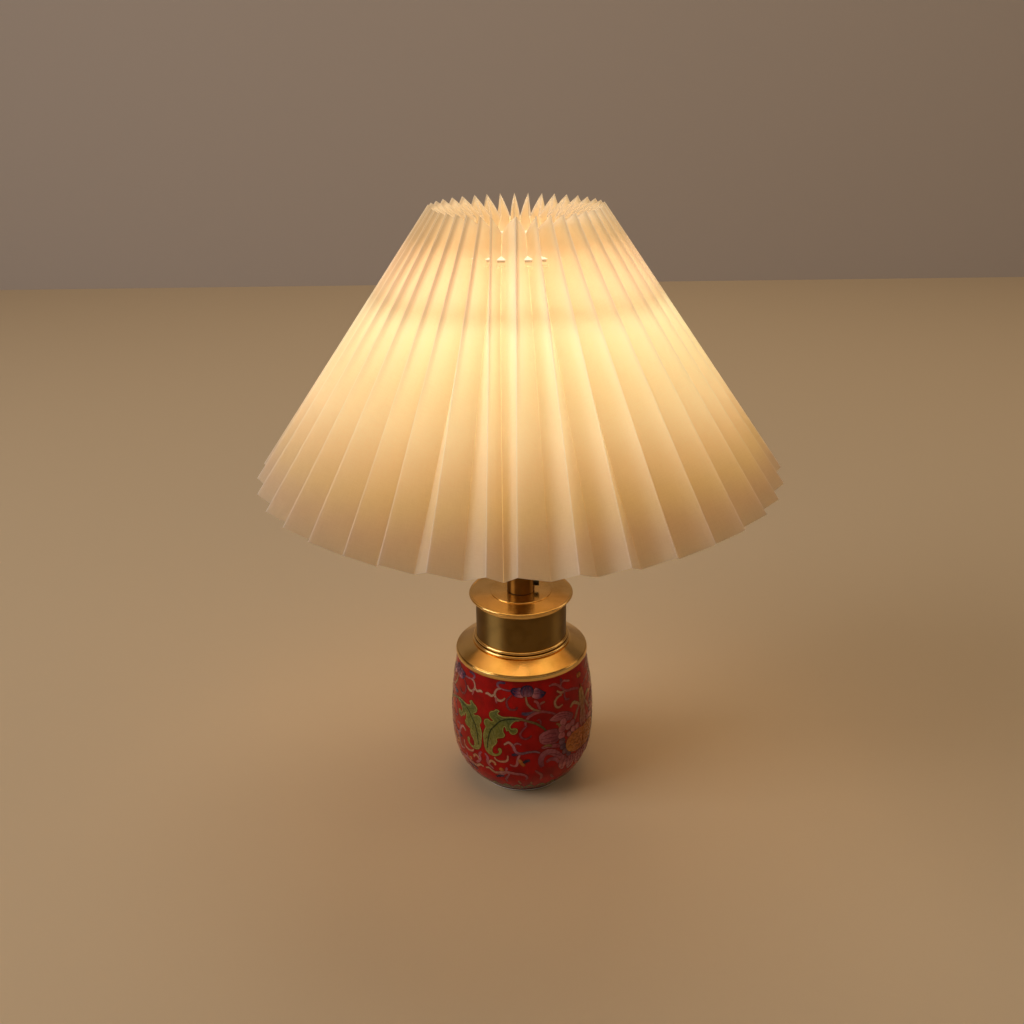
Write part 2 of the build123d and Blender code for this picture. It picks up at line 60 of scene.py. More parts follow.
def addCamera():
    view = cameraView
    pitch, yaw, roll = (math.radians(view[key]) for key in ("pitch", "yaw", "roll"))
    ahead = Vector((math.sin(yaw) * math.cos(pitch), math.cos(yaw) * math.cos(pitch), -math.sin(pitch)))
    turned = ahead.to_track_quat("-Z", "Y") @ Quaternion((0, 0, 1), roll)
    bpy.ops.object.camera_add(location=view["place"], rotation=turned.to_euler())
    camera = bpy.context.object
    camera.data.sensor_width = view["sensor"]
    camera.data.lens = view["lens"]
    bpy.context.scene.camera = camera


addCamera()
print("camera set")


def hexColour(text):
    # sRGB hex to linear
    values = [int(text[start:start + 2], 16) / 255 for start in (1, 3, 5)]
    return (*(v / 12.92 if v <= 0.04045 else ((v + 0.055) / 1.055) ** 2.4 for v in values), 1.0)


def setInputs(node, inputs):
    # inputs by name, or in the order of the sockets; a whole node stands for its first output
    for name, value in inputs.items() if isinstance(inputs, dict) else enumerate(inputs):
        if isinstance(value, bpy.types.Node):
            value = value.outputs[0]
        if isinstance(value, bpy.types.NodeSocket):
            node.id_data.links.new(value, node.inputs[name])
        else:
            node.inputs[name].default_value = value


def addNode(tree, kind, inputs=(), stops=(), **settings):
    # stops are a ramp's places and colours
    node = tree.nodes.new("ShaderNode" + kind)
    for name, value in settings.items():
        setattr(node, name, value)
    setInputs(node, inputs)
    for index, (place, colour) in enumerate(stops):
        stop = node.color_ramp.elements[index] if index < 2 else node.color_ramp.elements.new(place)
        stop.position, stop.color = place, hexColour(colour)
    return node


def newMaterial(name, values):
    # the material, what adds nodes to it, and its surface
    material = bpy.data.materials.new(name)
    material.use_nodes = True
    surface = material.node_tree.nodes["Principled BSDF"]
    setInputs(surface, values)
    return material, partial(addNode, material.node_tree), surface


def coat(item, material):
    item.data.materials.clear()
    item.data.materials.append(material)


def only(*objects):
    # these and nothing else selected, the first one active
    bpy.ops.object.select_all(action="DESELECT")
    for item in objects:
        item.select_set(True)
    bpy.context.view_layer.objects.active = objects[0]


def editAll(item):
    # into edit mode with everything selected
    only(item)
    bpy.ops.object.mode_set(mode="EDIT")
    bpy.ops.mesh.select_all(action="SELECT")


def leaveEdit():
    bpy.ops.object.mode_set(mode="OBJECT")


def applyModifier(item, kind, **settings):
    only(item)
    modifier = item.modifiers.new(kind.lower(), kind)
    for name, value in settings.items():
        setattr(modifier, name, value)
    bpy.ops.object.modifier_apply(modifier=modifier.name)


def smooth(item, degrees):
    only(item)
    bpy.ops.object.shade_smooth_by_angle(angle=math.radians(degrees))


def dress(item, name, body, material):
    item.name = item.data.name = name
    coat(item, material)
    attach(item, body)


# stage: a wide pale table top before a pale wall, and soft daylight from the left
stageLook = {
    "floor": "#cdaf86", "floorRoughness": 0.75, "wall": "#b7a592", "wallRoughness": 0.9,
    "planeSize": 40.0, "wallPlace": 1.6, "sky": "#f6efe6", "skyStrength": 0.17, "aim": (0, 0, 0.15),
    "lamps": (    # place, size, watts, colour
        ((-1.9, -0.65, 1.25), 1.4, 27.0, "#ecf1ff"),
        ((1.9, 0.35, 1.0), 1.0, 4.0, "#fff1de"),
        ((0.2, 0.9, 1.9), 1.4, 10.0, "#fff4e6"),
    ),
}


def addPlane(name, finish, colour, roughness, **place):
    bpy.ops.mesh.primitive_plane_add(size=stageLook["planeSize"], **place)
    plane = bpy.context.object
    plane.name = name
    coat(plane, newMaterial(finish, {"Base Color": hexColour(colour), "Roughness": roughness})[0])
    return plane


def addStage():
    look = stageLook
    bpy.ops.object.select_all(action="DESELECT")
    floor = addPlane("floor", "table_top", look["floor"], look["floorRoughness"])
    wall = addPlane("wall", "matt_wall", look["wall"], look["wallRoughness"],
                    location=(0, look["wallPlace"], 0), rotation=(math.radians(90), 0, 0))
    for place, size, watts, colour in look["lamps"]:
        aim = (Vector(look["aim"]) - Vector(place)).to_track_quat("-Z", "Y")
        bpy.ops.object.light_add(type="AREA", location=place, rotation=aim.to_euler())
        lamp = bpy.context.object.data
        lamp.size, lamp.energy, lamp.color = size, watts, hexColour(colour)[:3]
    world = bpy.data.worlds.new("soft_room")
    world.use_nodes = True
    setInputs(world.node_tree.nodes["Background"], {"Color": hexColour(look["sky"]), "Strength": look["skyStrength"]})
    bpy.context.scene.world = world
    bpy.context.scene.view_settings.view_transform = "Standard"


addStage()
print("stage set")


noiseSpan = (0.3, 0.7)    # most of a noise lies in this range

# lathe-turned brass under lacquer: fine rings round the axis, a gold sheen drawn out across them, and painted shade:
# darker in the creases by an occlusion mask
turnedBrassLook = {
    "gold": "#edc47a", "deep": "#d8ab5e", "crease": "#3a2206", "draw": 0.6, "roughness": (0.15, 0.22), "relief": 0.03,
    "ringWidth": 0.3, "ringDepth": 0.03, "edge": 0.25, "tarnish": 14, "shadeReach": 2.5,    # mm
}


def turnedBrass(name, look):
    shine = {"Metallic": 1.0, "Anisotropic": look["draw"], "Anisotropic Rotation": 0.25}
    material, add, surface = newMaterial(name, shine)
    place = add("TexCoord").outputs["Object"]
    parts = add("SeparateXYZ", (place,)).outputs
    across = add("CombineXYZ", (parts["X"], parts["Y"]))
    radius = add("VectorMath", (across,), operation="LENGTH").outputs["Value"]
    profile = add("CombineXYZ", (radius, parts["Z"]))    # so that the rings run round the axis
    rings = add("TexNoise", {"Vector": profile, "Scale": 1 / (look["ringWidth"] * mm), "Detail": 3.0}, noise_dimensions="2D")
    tarnish = add("TexNoise", {"Vector": place, "Scale": 1 / (look["tarnish"] * mm), "Detail": 4.0})
    tone = add("ValToRGB", (tarnish,), ((0.3, look["deep"]), (0.55, look["gold"])))
    # painted shade: the occlusion mask darkens the creases toward the crease tone
    hollow = add("AmbientOcclusion", {"Distance": look["shadeReach"] * mm}, samples=6, only_local=True)
    creaseShade = add("ValToRGB", (hollow.outputs["AO"],), ((0.25, look["crease"]), (0.75, "#ffffff")))
    colour = add("MixRGB", (1.0, tone, creaseShade), blend_type="MULTIPLY")
    rough = add("MapRange", (rings, *noiseSpan, *look["roughness"]))
    soft = add("Bevel", {"Radius": look["edge"] * mm}, samples=4)
    depth = look["ringDepth"] * mm
    relief = add("Bump", {"Height": rings, "Strength": look["relief"], "Distance": depth, "Normal": soft})
    around = add("Tangent", direction_type="RADIAL", axis="Z")
    setInputs(surface, {"Base Color": colour, "Roughness": rough, "Normal": relief, "Tangent": around})
    return material


# brushed brass tube: the same metal with coarser rings, so it shows upright bands of light, and painted shade: made
# much darker than the turned brass so that the tube stays dark
shadedBrushedBrassLook = dict(turnedBrassLook, gold="#8b6c38", deep="#785c2e", ringWidth=0.35, draw=0.97,
                        roughness=(0.42, 0.5), relief=0.05)

# stem brass with painted shade: the same turning, made darker so that it stays dark under the shade
shadedStemBrassLook = dict(turnedBrassLook, gold="#7c5a2c", deep="#694a22", draw=0.9, roughness=(0.28, 0.36))

# pressed contact brass: paler, plain rolled sheet
contactBrassLook = dict(turnedBrassLook, gold="#d9b76a", deep="#b89048", ringWidth=1.4, draw=0.0)


# gloss red glaze over white clay: a deep wet red, darker where it ran down to the foot, bare clay on the foot's edge
glazeLook = {
    "red": "#9c0c08", "deep": "#7e0806", "foot": "#4a0604", "clay": "#d9cfc0", "shine": 0.14, "relief": 0.05,
    "roughness": (0.13, 0.8),    # of the glaze and of bare clay
    "footLine": 1.9, "footBlur": 0.3, "ragged": 0.4, "pool": 7.5, "cloud": 9, "peel": 1.6, "peelDepth": 0.1,    # mm
}


def redGlaze():
    look = glazeLook
    material, add, surface = newMaterial("red_glaze", {"Specular IOR Level": look["shine"]})
    place = add("TexCoord").outputs["Object"]
    height = add("SeparateXYZ", (place,)).outputs["Z"]
    edge, ragged = look["footLine"] * mm, look["ragged"] * mm
    cloud = add("TexNoise", {"Vector": place, "Scale": 1 / (look["cloud"] * mm), "Detail": 3.0})
    body = add("ValToRGB", (cloud,), ((0.35, look["deep"]), (0.65, look["red"])))
    pooled = add("MapRange", (height, edge, look["pool"] * mm, 1, 0))
    run = add("MixRGB", (pooled, body, hexColour(look["foot"])))
    level = add("Math", (height, add("MapRange", (cloud, 0, 1, -ragged, ragged))), operation="ADD")
    bare = add("MapRange", (level, (look["footLine"] - look["footBlur"]) * mm, edge, 1, 0))
    colour = add("MixRGB", (bare, run, hexColour(look["clay"])))
    rough = add("MapRange", (bare, 0, 1, *look["roughness"]))
    peel = add("TexNoise", {"Vector": place, "Scale": 1 / (look["peel"] * mm), "Detail": 1.0})
    relief = add("Bump", {"Height": peel, "Strength": look["relief"], "Distance": look["peelDepth"] * mm})
    setInputs(surface, {"Base Color": colour, "Roughness": rough, "Normal": relief})
    return material


# what the plainer finishes share: a base tone broken up by a fine and a coarse mottle, with roughness and relief to match
def mottled(name, dark, light, grain, patch, roughness, strength, values=()):
    material, add, surface = newMaterial(name, values)
    place = add("TexCoord").outputs["Object"]
    fine = add("TexNoise", {"Vector": place, "Scale": 1 / (grain * mm), "Detail": 4.0})
    broad = add("TexNoise", {"Vector": place, "Scale": 1 / (patch * mm), "Detail": 2.0})
    tone = add("ValToRGB", (broad,), ((0.3, dark), (0.7, light)))
    rough = add("MapRange", (fine, *noiseSpan, *roughness))
    relief = add("Bump", {"Height": fine, "Strength": strength, "Distance": grain * 0.3 * mm})
    setInputs(surface, {"Base Color": tone, "Roughness": rough, "Normal": relief})
    return material


metal = {"Metallic": 1.0}

# dark and light tone, grain and patch in mm, roughness, strength of the relief, other values
plainLooks = {
    # pressed wool felt: dark, matt, a little hairy at the edge
    "felt": ("#1f1b19", "#37302c", 0.5, 6, (0.85, 1.0), 0.7, {"Sheen Weight": 0.4}),
    # moulded rubber: dull black with a faint bloom
    "black_rubber": ("#121212", "#1f1f1e", 0.35, 5, (0.55, 0.75), 0.15),
    # cast iron: grey and sandy
    "ballast_iron": ("#2a2928", "#454341", 0.8, 7, (0.5, 0.8), 0.6, metal),
    # zinc-plated steel: cool grey with a clouded shine
    "zinc_steel": ("#8f9396", "#c3c6c6", 0.5, 3, (0.25, 0.45), 0.1, metal),
    # pressed fibre board: black and dry
    "black_fibre": ("#141210", "#242019", 0.3, 2, (0.7, 0.95), 0.4),
    # blackened steel: oil-black with worn grey
    "black_steel": ("#141210", "#37322c", 0.3, 1.5, (0.3, 0.5), 0.15, metal),
    # moulded phenolic plastic: black with a soft gloss
    "black_plastic": ("#131212", "#201e1c", 0.4, 8, (0.28, 0.42), 0.08),
    # fired porcelain: white with a warm cast
    "white_porcelain": ("#ddd8cd", "#efece4", 0.7, 6, (0.2, 0.34), 0.08),
    # fused black glass at the bulb's tip
    "black_glass": ("#0c0c0e", "#19191c", 0.4, 3, (0.1, 0.2), 0.05),
    # rolled aluminium cap: bright and finely scuffed
    "cap_aluminium": ("#b4b4b2", "#d8d8d5", 0.25, 3, (0.25, 0.4), 0.1, metal),
    # phosphor coat on the filament sticks: matt yellow
    "filament_phosphor": ("#d99a2a", "#f0bd48", 0.2, 1, (0.5, 0.7), 0.2),
    # white stoved enamel on the wire carrier: slightly uneven, soft shine
    "white_steel": ("#dcd7cb", "#efebe2", 0.6, 7, (0.3, 0.45), 0.1),
}


# opal glass: milk-white and lit from within, a little weaker towards its neck
opalLook = {
    "glass": "#fff3dd", "roughness": 0.18, "light": "#ffdcae", "neckLight": "#d8a060", "strength": 6.4,
    "lit": (238.9, 266.0),    # mm, from the neck to where it is full
}


def opalGlass():
    look = opalLook
    glass = {"Base Color": hexColour(look["glass"]), "Roughness": look["roughness"], "Emission Strength": look["strength"]}
    material, add, surface = newMaterial("opal_glass", glass)
    height = add("SeparateXYZ", (add("TexCoord").outputs["Object"],)).outputs["Z"]
    share = add("MapRange", (height, *(level * mm for level in look["lit"])))
    setInputs(surface, {"Emission Color": add("ValToRGB", (share,), ((0.0, look["neckLight"]), (1.0, look["light"])))})
    return material


# clear glass of the filament stem: nearly colourless, with a faint ripple from the flame
clearLook = {"tint": "#f2f6f5", "ripple": 2, "haze": 0.08}


def clearGlass():
    look = clearLook
    glass = {"Base Color": hexColour(look["tint"]), "Transmission Weight": 1.0, "IOR": 1.5}
    material, add, surface = newMaterial("clear_glass", glass)
    ripple = add("TexNoise", {"Vector": add("TexCoord").outputs["Object"], "Scale": 1 / (look["ripple"] * mm)})
    setInputs(surface, {"Roughness": add("MapRange", (ripple, 0, 1, 0, look["haze"]))})
    return material


# white enamel on the carrier's top ring with a painted highlight: its upper face glows, so that it shows as pale bars
# in the shade's cuts
ringHighlightLook = {"light": "#fff0d2", "strength": 0.75, "skin": 0.25}


def paintRingHighlight():
    look = ringHighlightLook
    material = mottled("ring_enamel_highlight", *plainLooks["white_steel"])
    add = partial(addNode, material.node_tree)
    height = add("SeparateXYZ", (add("TexCoord").outputs["Object"],)).outputs["Z"]
    top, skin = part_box("top_ring")[1].z, look["skin"] * mm
    # painted highlight: emission on the ring's upper face
    paintedHighlight = add("MapRange", (height, top - 2 * skin, top - skin, 0, look["strength"]))
    surface = material.node_tree.nodes["Principled BSDF"]
    setInputs(surface, {"Emission Color": hexColour(look["light"]), "Emission Strength": paintedHighlight})
    return material


# pleated shade: one long sheet folded into a cone, with a narrow pleat where its ends meet
pleatedSheet = {
    "pleats": 38, "seamAngle": -3.2, "seamPitch": 5.2,          # degrees
    "topRadius": 47.4, "rimRadius": 150.0, "height": 146.6,     # mm, the outer fold line
    "panel": 19.5, "thickness": 0.4, "crease": 0.012, "wander": 0.3, "bow": 0.015, "seed": 5,
    "across": 14, "down": 40, "gather": 0.13,                   # columns to a pleat, rows, closer columns at the folds
    # degrees by which some folds stand off their even place at the top and at the rim, counted from the seam
    "ridgeShift": {
        1: (2.7, 1.3), 2: (2.3, 1.4), 3: (1.1, 1.3), 4: (0.7, 1.2), 5: (0.5, 1.0), 6: (0.3, 0.8), 7: (0.2, 0.5),
        -1: (-10.1, -0.3), -2: (-7.7, -1.7), -3: (-7.0, -1.7), -4: (-6.0, -0.3), -5: (-4.5, 0.0), -6: (-3.0, 0.0),
        -7: (-1.5, 0.0),
    },
    "foldShift": {0: (-5.5, 0.0), 1: (2.5, 1.0)},
    "notch": (333.1, 337.1), "notchShare": 0.42,                # the cuts that sit on the carrier's ring
}

# film-backed pleated paper: warm cream with a faint fine weave, lit through by the bulb, with painted light: a glow
# painted as emission by height, a painted highlight along its outer folds and a painted shadow beside them
paperLook = {
    "paper": "#dccfb2", "thread": "#d0c2a2", "through": "#fff9f0", "share": 0.6, "roughness": 0.6, "relief": 0.05,
    "threadWidth": 0.5, "threadLength": 6.0, "threadDepth": 0.06,    # mm, drawn coarser than real so that they show
    "foldWidth": 0.35, "ridgeHighlight": "#fff8ec", "ridgeHighlightShare": 0.7, "innerGain": 0.5,
    "seamWidth": 0.3, "seamLight": "#ffdf9a", "seamShare": 0.22,
    "hollowLight": (0.9, 0.35), "ridgeLight": 1.1,    # the folds close toward the top, with less light in their depth
    # painted shadow beside each outer fold: where it lies, its tone and strength, rising toward the top
    "ridgeShadowBand": ((0.495, "#000000"), (0.51, "#ffffff"), (0.55, "#ffffff"), (0.62, "#000000")),    # beside each outer fold
    "ridgeShadowTone": "#7a5c3a", "ridgeShadowShare": 0.6, "ridgeShadowRise": (0.4, 0.8),
    "lit": (206.6, 358.0),    # mm, from the rim to the top
    # painted glow by height, with a dip at 0.7 for the painted shadow of the lower hoop and darker from 0.86 up for the
    # painted shadow of the top ring
    "paintedGlow": (
        (0.0, "#241404"), (0.08, "#382006"), (0.17, "#543f18"), (0.27, "#6a5434"), (0.37, "#78684a"), (0.48, "#7e7354"),
        (0.63, "#8b8466"), (0.655, "#8b8266"), (0.7, "#7c6c52"), (0.745, "#8e7a60"), (0.79, "#917a60"), (0.86, "#856f54"),
        (0.9, "#746246"), (1.0, "#74644a"),
    ),
}


def sheetSlant():
    sheet = pleatedSheet
    return math.hypot(sheet["rimRadius"] - sheet["topRadius"], sheet["height"])


def sheetPitch():
    # degrees from one outer fold to the next
    return (360 - pleatedSheet["seamPitch"]) / (pleatedSheet["pleats"] - 1)


def pleatedPaper():
    look, sheet = paperLook, pleatedSheet
    sheen = {"Roughness": look["roughness"], "Emission Strength": 1 / (1 - look["share"])}
    material, add, surface = newMaterial("pleated_paper", sheen)
    coords = add("TexCoord").outputs
    length, slant = sheet["pleats"] * 2 * sheet["panel"], sheetSlant()
    thin, long = look["threadWidth"], look["threadLength"]
    weave = []
    for wide, tall in ((thin, long), (long, thin)):
        lay = add("Mapping", {"Vector": coords["UV"], "Scale": (length / wide, slant / tall, 1.0)})
        weave.append(add("TexNoise", {"Vector": lay, "Scale": 1.0, "Detail": 2.0}, noise_dimensions="2D"))
    threads = add("Math", weave, operation="ADD")
    mean = add("Math", (threads, 0.5), operation="MULTIPLY")
    paper = add("ValToRGB", (mean,), ((0.35, look["thread"]), (0.6, look["paper"])))

    # where a point lies in its pleat and on the shade's height
    along = add("SeparateXYZ", (coords["UV"],)).outputs["X"]
    pleat = add("Math", (along, sheet["pleats"]), operation="MULTIPLY")
    half = add("Math", (pleat, 0.5), operation="PINGPONG")    # 0 at an inner fold, 0.5 at an outer one
    part = add("Math", (pleat,), operation="FRACT")
    ends = add("Math", (along, 0.5), operation="PINGPONG")    # 0 where the sheet's two ends meet
    height = add("SeparateXYZ", (coords["Object"],)).outputs["Z"]
    level = add("MapRange", (height, *(level * mm for level in look["lit"])))

    # the paper's colour, with a painted highlight along each outer fold and a painted shadow beside it
    fold = look["foldWidth"] / (2 * sheet["panel"])
    # painted highlight: a paler line along each outer fold
    outer = add("MapRange", (half, 0.5 - 1.5 * fold, 0.5 - 0.5 * fold, 0, look["ridgeHighlightShare"]))
    highlighted = add("MixRGB", (outer, paper, hexColour(look["ridgeHighlight"])))
    # painted shadow: a dark band beside each outer fold, stronger toward the top, in colour and light
    beside = add("ValToRGB", (part,), look["ridgeShadowBand"])
    climb = add("MapRange", (level, *look["ridgeShadowRise"], 0, look["ridgeShadowShare"]))
    ridgeShadow = add("Math", (beside, climb), operation="MULTIPLY")
    colour = add("MixRGB", (ridgeShadow, highlighted, hexColour(look["ridgeShadowTone"])))

    # the light that comes through it, painted as emission by height: brighter along the inner folds, less deep in the
    # folds toward the top, dimmed by the painted shadow beside each outer fold, and lighter along the seam
    paintedGlow = add("ValToRGB", (level,), look["paintedGlow"])
    inner = add("MapRange", (half, 0.5 * fold, 2 * fold, look["innerGain"], 0))
    brighter = add("MixRGB", (inner, paintedGlow, paintedGlow), blend_type="ADD")
    shut = add("MapRange", (level, 0, 1, *look["hollowLight"]))
    dim = add("MapRange", (half, 0, 0.45, shut, look["ridgeLight"]))
    kept = add("Math", (1.0, ridgeShadow), operation="SUBTRACT")
    less = add("Math", (dim, kept), operation="MULTIPLY")
    deep = add("VectorMath", {0: brighter, "Scale": less}, operation="SCALE")
    gap = look["seamWidth"] / length
    seam = add("MapRange", (ends, 0.5 * gap, gap, look["seamShare"], 0))
    lit = add("MixRGB", (seam, deep, hexColour(look["seamLight"])))

    relief = add("Bump", {"Height": threads, "Strength": look["relief"], "Distance": look["threadDepth"] * mm})
    setInputs(surface, {"Base Color": colour, "Emission Color": lit, "Normal": relief})
    through = add("BsdfTranslucent", {"Color": hexColour(look["through"]), "Normal": relief})
    mixed = add("MixShader", (look["share"], surface, through))
    setInputs(material.node_tree.nodes["Material Output"], {"Surface": mixed})
    return material


def dressNodes():
    looks = {name: mottled(name, *look) for name, look in plainLooks.items()}
    looks["brass"] = turnedBrass("turned_brass", turnedBrassLook)
    looks["brushed_brass"] = turnedBrass("brushed_brass", shadedBrushedBrassLook)
    looks["contact_brass"] = turnedBrass("contact_brass", contactBrassLook)
    looks["red_glaze"] = redGlaze()
    looks["opal_glass"] = opalGlass()
    looks["clear_glass"] = clearGlass()
    looks["pleated_paper"] = pleatedPaper()
    for row in frame["record"]["subparts"]:
        coat(nodes[row["node"]], looks[row["material_slot"]])
    # a darker copy of the brass for the stem and collar: painted shade
    shadedStemBrass = turnedBrass("shaded_stem_brass", shadedStemBrassLook)
    coat(nodes["stem_collar"], shadedStemBrass)
    coat(nodes["stem_tube"], shadedStemBrass)
    coat(nodes["top_ring"], paintRingHighlight())
    return looks


looks = dressNodes()
print("CAD nodes dressed")


def foldDepth(radius):
    # how far the inner fold lies behind the outer one, for panels of one width
    sheet = pleatedSheet
    opening = 1 - math.cos(math.radians(sheetPitch()) / 2)
    lean = opening * radius * sheet["height"] / sheetSlant()
    return lean + math.sqrt(lean ** 2 - 2 * opening * radius ** 2 + sheet["panel"] ** 2)


def foldLines(chance):
    # degrees at which each outer and inner fold stands, at the top and at the rim
    sheet = pleatedSheet
    count = sheet["pleats"]
    ridges, folds = [], []
    for index in range(count):
        even = sheet["seamAngle"] + sheet["seamPitch"] / 2 + sheetPitch() * index
        if 0 < index < count - 1:    # not beside the seam
            even += chance.uniform(-sheet["wander"], sheet["wander"])
        shifts = sheet["ridgeShift"].get(index) or sheet["ridgeShift"].get(index - count) or (0, 0)
        ridges.append([even + shift for shift in shifts])
    for index in range(count):
        shifts = sheet["foldShift"].get(index, (0, 0))
        back = 180 if index == 0 else 0    # the first fold's neighbours stand a full turn apart
        sides = zip(ridges[index - 1], ridges[index], shifts)
        folds.append([(before + after) / 2 - back + shift for before, after, shift in sides])
    folds.append([angle + 360 for angle in folds[0]])
    return ridges, folds


def foldAngle(ends, share):
    # a fold is a straight line from its top to its rim
    sheet = pleatedSheet
    apart = math.radians(ends[1] - ends[0])
    aside = sheet["rimRadius"] * share * math.sin(apart)
    ahead = sheet["topRadius"] * (1 - share) + sheet["rimRadius"] * share * math.cos(apart)
    return ends[0] + math.degrees(math.atan2(aside, ahead))


def makeShade():
    sheet = pleatedSheet
    chance = random.Random(sheet["seed"])
    count, across, down = sheet["pleats"], sheet["across"], sheet["down"]
    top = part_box("pleated_shade")[1].z / mm
    spread = sheet["rimRadius"] - sheet["topRadius"]
    slant = sheetSlant()
    inward = (-sheet["height"] / slant, -spread / slant)
    depths = foldDepth(sheet["topRadius"]), foldDepth(sheet["rimRadius"])
    ridges, folds = foldLines(chance)
    bows = [chance.uniform(-1, 1) * sheet["bow"] for index in range(2 * count)]

    bpy.ops.object.select_all(action="DESELECT")
    bpy.ops.mesh.primitive_grid_add(x_subdivisions=count * across, y_subdivisions=down, size=2)
    shade = bpy.context.object
    mesh = shade.data
    columns = count * across + 1
    spots = []
    for index, vertex in enumerate(mesh.vertices):
        row, column = divmod(index, columns)
        share = 1 - row / down                     # 1 at the rim, 0 at the top
        pleat = min(column // across, count - 1)
        walk = -1 + 2 * (column - pleat * across) / across
        side = walk - sheet["gather"] * math.sin(2 * math.pi * walk)
        reach = abs(side)                          # 0 at the outer fold, 1 at an inner one
        depth = math.hypot(reach, sheet["crease"]) if reach < 0.5 else 1 - math.hypot(1 - reach, sheet["crease"])
        depth += bows[2 * pleat + (side > 0)] * math.sin(math.pi * share) * math.sin(math.pi * reach)
        ridge = foldAngle(ridges[pleat], share)
        angle = ridge + reach * (foldAngle(folds[pleat + (side > 0)], share) - ridge)
        fold = depth * (depths[0] + (depths[1] - depths[0]) * share)
        radius = sheet["topRadius"] + spread * share + fold * inward[0]
        height = top - sheet["height"] * share + fold * inward[1]
        turn = math.radians(angle)
        vertex.co = Vector((radius * math.sin(turn), -radius * math.cos(turn), height)) * mm
        spots.append(((pleat + (side + 1) / 2) / count, 1 - share))
    sheetMap = mesh.uv_layers.active.data
    for loop in mesh.loops:
        sheetMap[loop.index].uv = spots[loop.vertex_index]

    # the cuts at the inner folds, between two level lines
    editAll(shade)
    bpy.ops.mesh.remove_doubles(threshold=0.01 * mm)
    for level in sheet["notch"]:
        bpy.ops.mesh.select_all(action="SELECT")
        bpy.ops.mesh.bisect(plane_co=(0, 0, level * mm), plane_no=(0, 0, 1))
    bpy.ops.mesh.select_mode(type="FACE")
    bpy.ops.mesh.select_all(action="DESELECT")
    leaveEdit()
    low, high = (level * mm for level in sheet["notch"])
    sheetMap = mesh.uv_layers.active.data
    for face in mesh.polygons:
        along = sum(sheetMap[loop].uv.x for loop in face.loop_indices) / face.loop_total * count
        face.select = low < face.center.z < high and abs(along - round(along)) < sheet["notchShare"] / 2
    bpy.ops.object.mode_set(mode="EDIT")
    bpy.ops.mesh.delete(type="FACE")
    leaveEdit()
    applyModifier(shade, "SOLIDIFY", thickness=sheet["thickness"] * mm, offset=-1.0)
    smooth(shade, 50)
    dress(shade, "pleated_sheet", "shade", looks["pleated_paper"])
    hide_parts("pleated_shade")
    return shade


shade = makeShade()
print("shade folded:", len(shade.data.polygons), "faces")


# felt ring under the foot
feltRing = {"inner": 0.0209, "edge": 0.22, "parts": 96}    # inner radius in metres, edge in mm


def makeFeltRing():
    low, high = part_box("foot_pad")
    outer, inner, thick = high.x, feltRing["inner"], high.z - low.z
    bpy.ops.object.select_all(action="DESELECT")
    bpy.ops.mesh.primitive_circle_add(vertices=feltRing["parts"], radius=inner)
    ring = bpy.context.object
    editAll(ring)
    for radius in (inner + (outer - inner) / 2, outer):
        now = max(vertex.co.xy.length for vertex in ring.data.vertices)
        bpy.ops.mesh.extrude_edges_move()
        bpy.ops.transform.resize(value=(radius / now,) * 2 + (1,), center_override=(0, 0, 0))
        leaveEdit()    # there and back, so that the new size is read
        bpy.ops.object.mode_set(mode="EDIT")
    bpy.ops.mesh.select_all(action="SELECT")
    bpy.ops.mesh.normals_make_consistent(inside=False)
    leaveEdit()
    for vertex in ring.data.vertices:
        vertex.co.z = 0
    applyModifier(ring, "SOLIDIFY", thickness=thick, offset=0.0)
    lift = low.z - min(vertex.co.z for vertex in ring.data.vertices)
    for vertex in ring.data.vertices:
        vertex.co.z += lift
    applyModifier(ring, "BEVEL", width=feltRing["edge"] * mm, segments=3, limit_method="ANGLE")
    smooth(ring, 40)
    dress(ring, "felt_ring", "base", looks["felt"])
    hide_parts("foot_pad")


makeFeltRing()
print("felt ring laid")


# overglaze enamel: opaque fired colour, a little raised and a shade duller than the glaze round it
enamelLook = {"shine": 0.16, "wash": 1.8, "washDepth": 0.16, "roughness": (0.2, 0.34), "relief": 0.1, "reliefDepth": 0.1}


def overglazeEnamel():
    look = enamelLook
    material, add, surface = newMaterial("overglaze_enamel", {"Specular IOR Level": look["shine"]})
    paint = add("Attribute", attribute_name="paint")
    place = add("TexCoord").outputs["Object"]
    wash = add("TexNoise", {"Vector": place, "Scale": 1 / (look["wash"] * mm), "Detail": 3.0})
    shade = add("MapRange", (wash, *noiseSpan, 1 - look["washDepth"], 1 + look["washDepth"]))
    colour = add("VectorMath", {0: paint, "Scale": shade}, operation="SCALE")
    rough = add("MapRange", (wash, *noiseSpan, *look["roughness"]))
    relief = add("Bump", {"Height": wash, "Strength": look["relief"], "Distance": look["reliefDepth"] * mm})
    setInputs(surface, {"Base Color": colour, "Roughness": rough, "Normal": relief})
    return material


# the painting: scrolling lotus laid out flat on a quarter of the jar, then turned over and repeated round it
enamelWork = {
    "axis": -33.0, "girth": 44.6,    # degrees of the leaves' axis, mm of radius that the flat layout is drawn for
    "lift": 0.05, "step": 0.012, "skin": 0.3, "line": 0.26, "cell": (2.0, 4.0),    # mm
    # the dark red is painted shade along the edges of the scroll lines
    "ink": "#2e0d0a", "lineShade": "#5c0806",
    "leaf": ("#435135", "#615e24", "#6a6229", "#776a30"), "leafRun": ((30, 66), (10, 40)),    # its colours run from and to
    "leafRim": ("#93823e", "#887c37", "#968240"), "rimWidth": 0.55,
    "midrib": ("#262b12", "#212508"), "leafVein": ("#3e3e17", "#524f1e"), "petalVein": ("#591c26", "#752f38"),
}

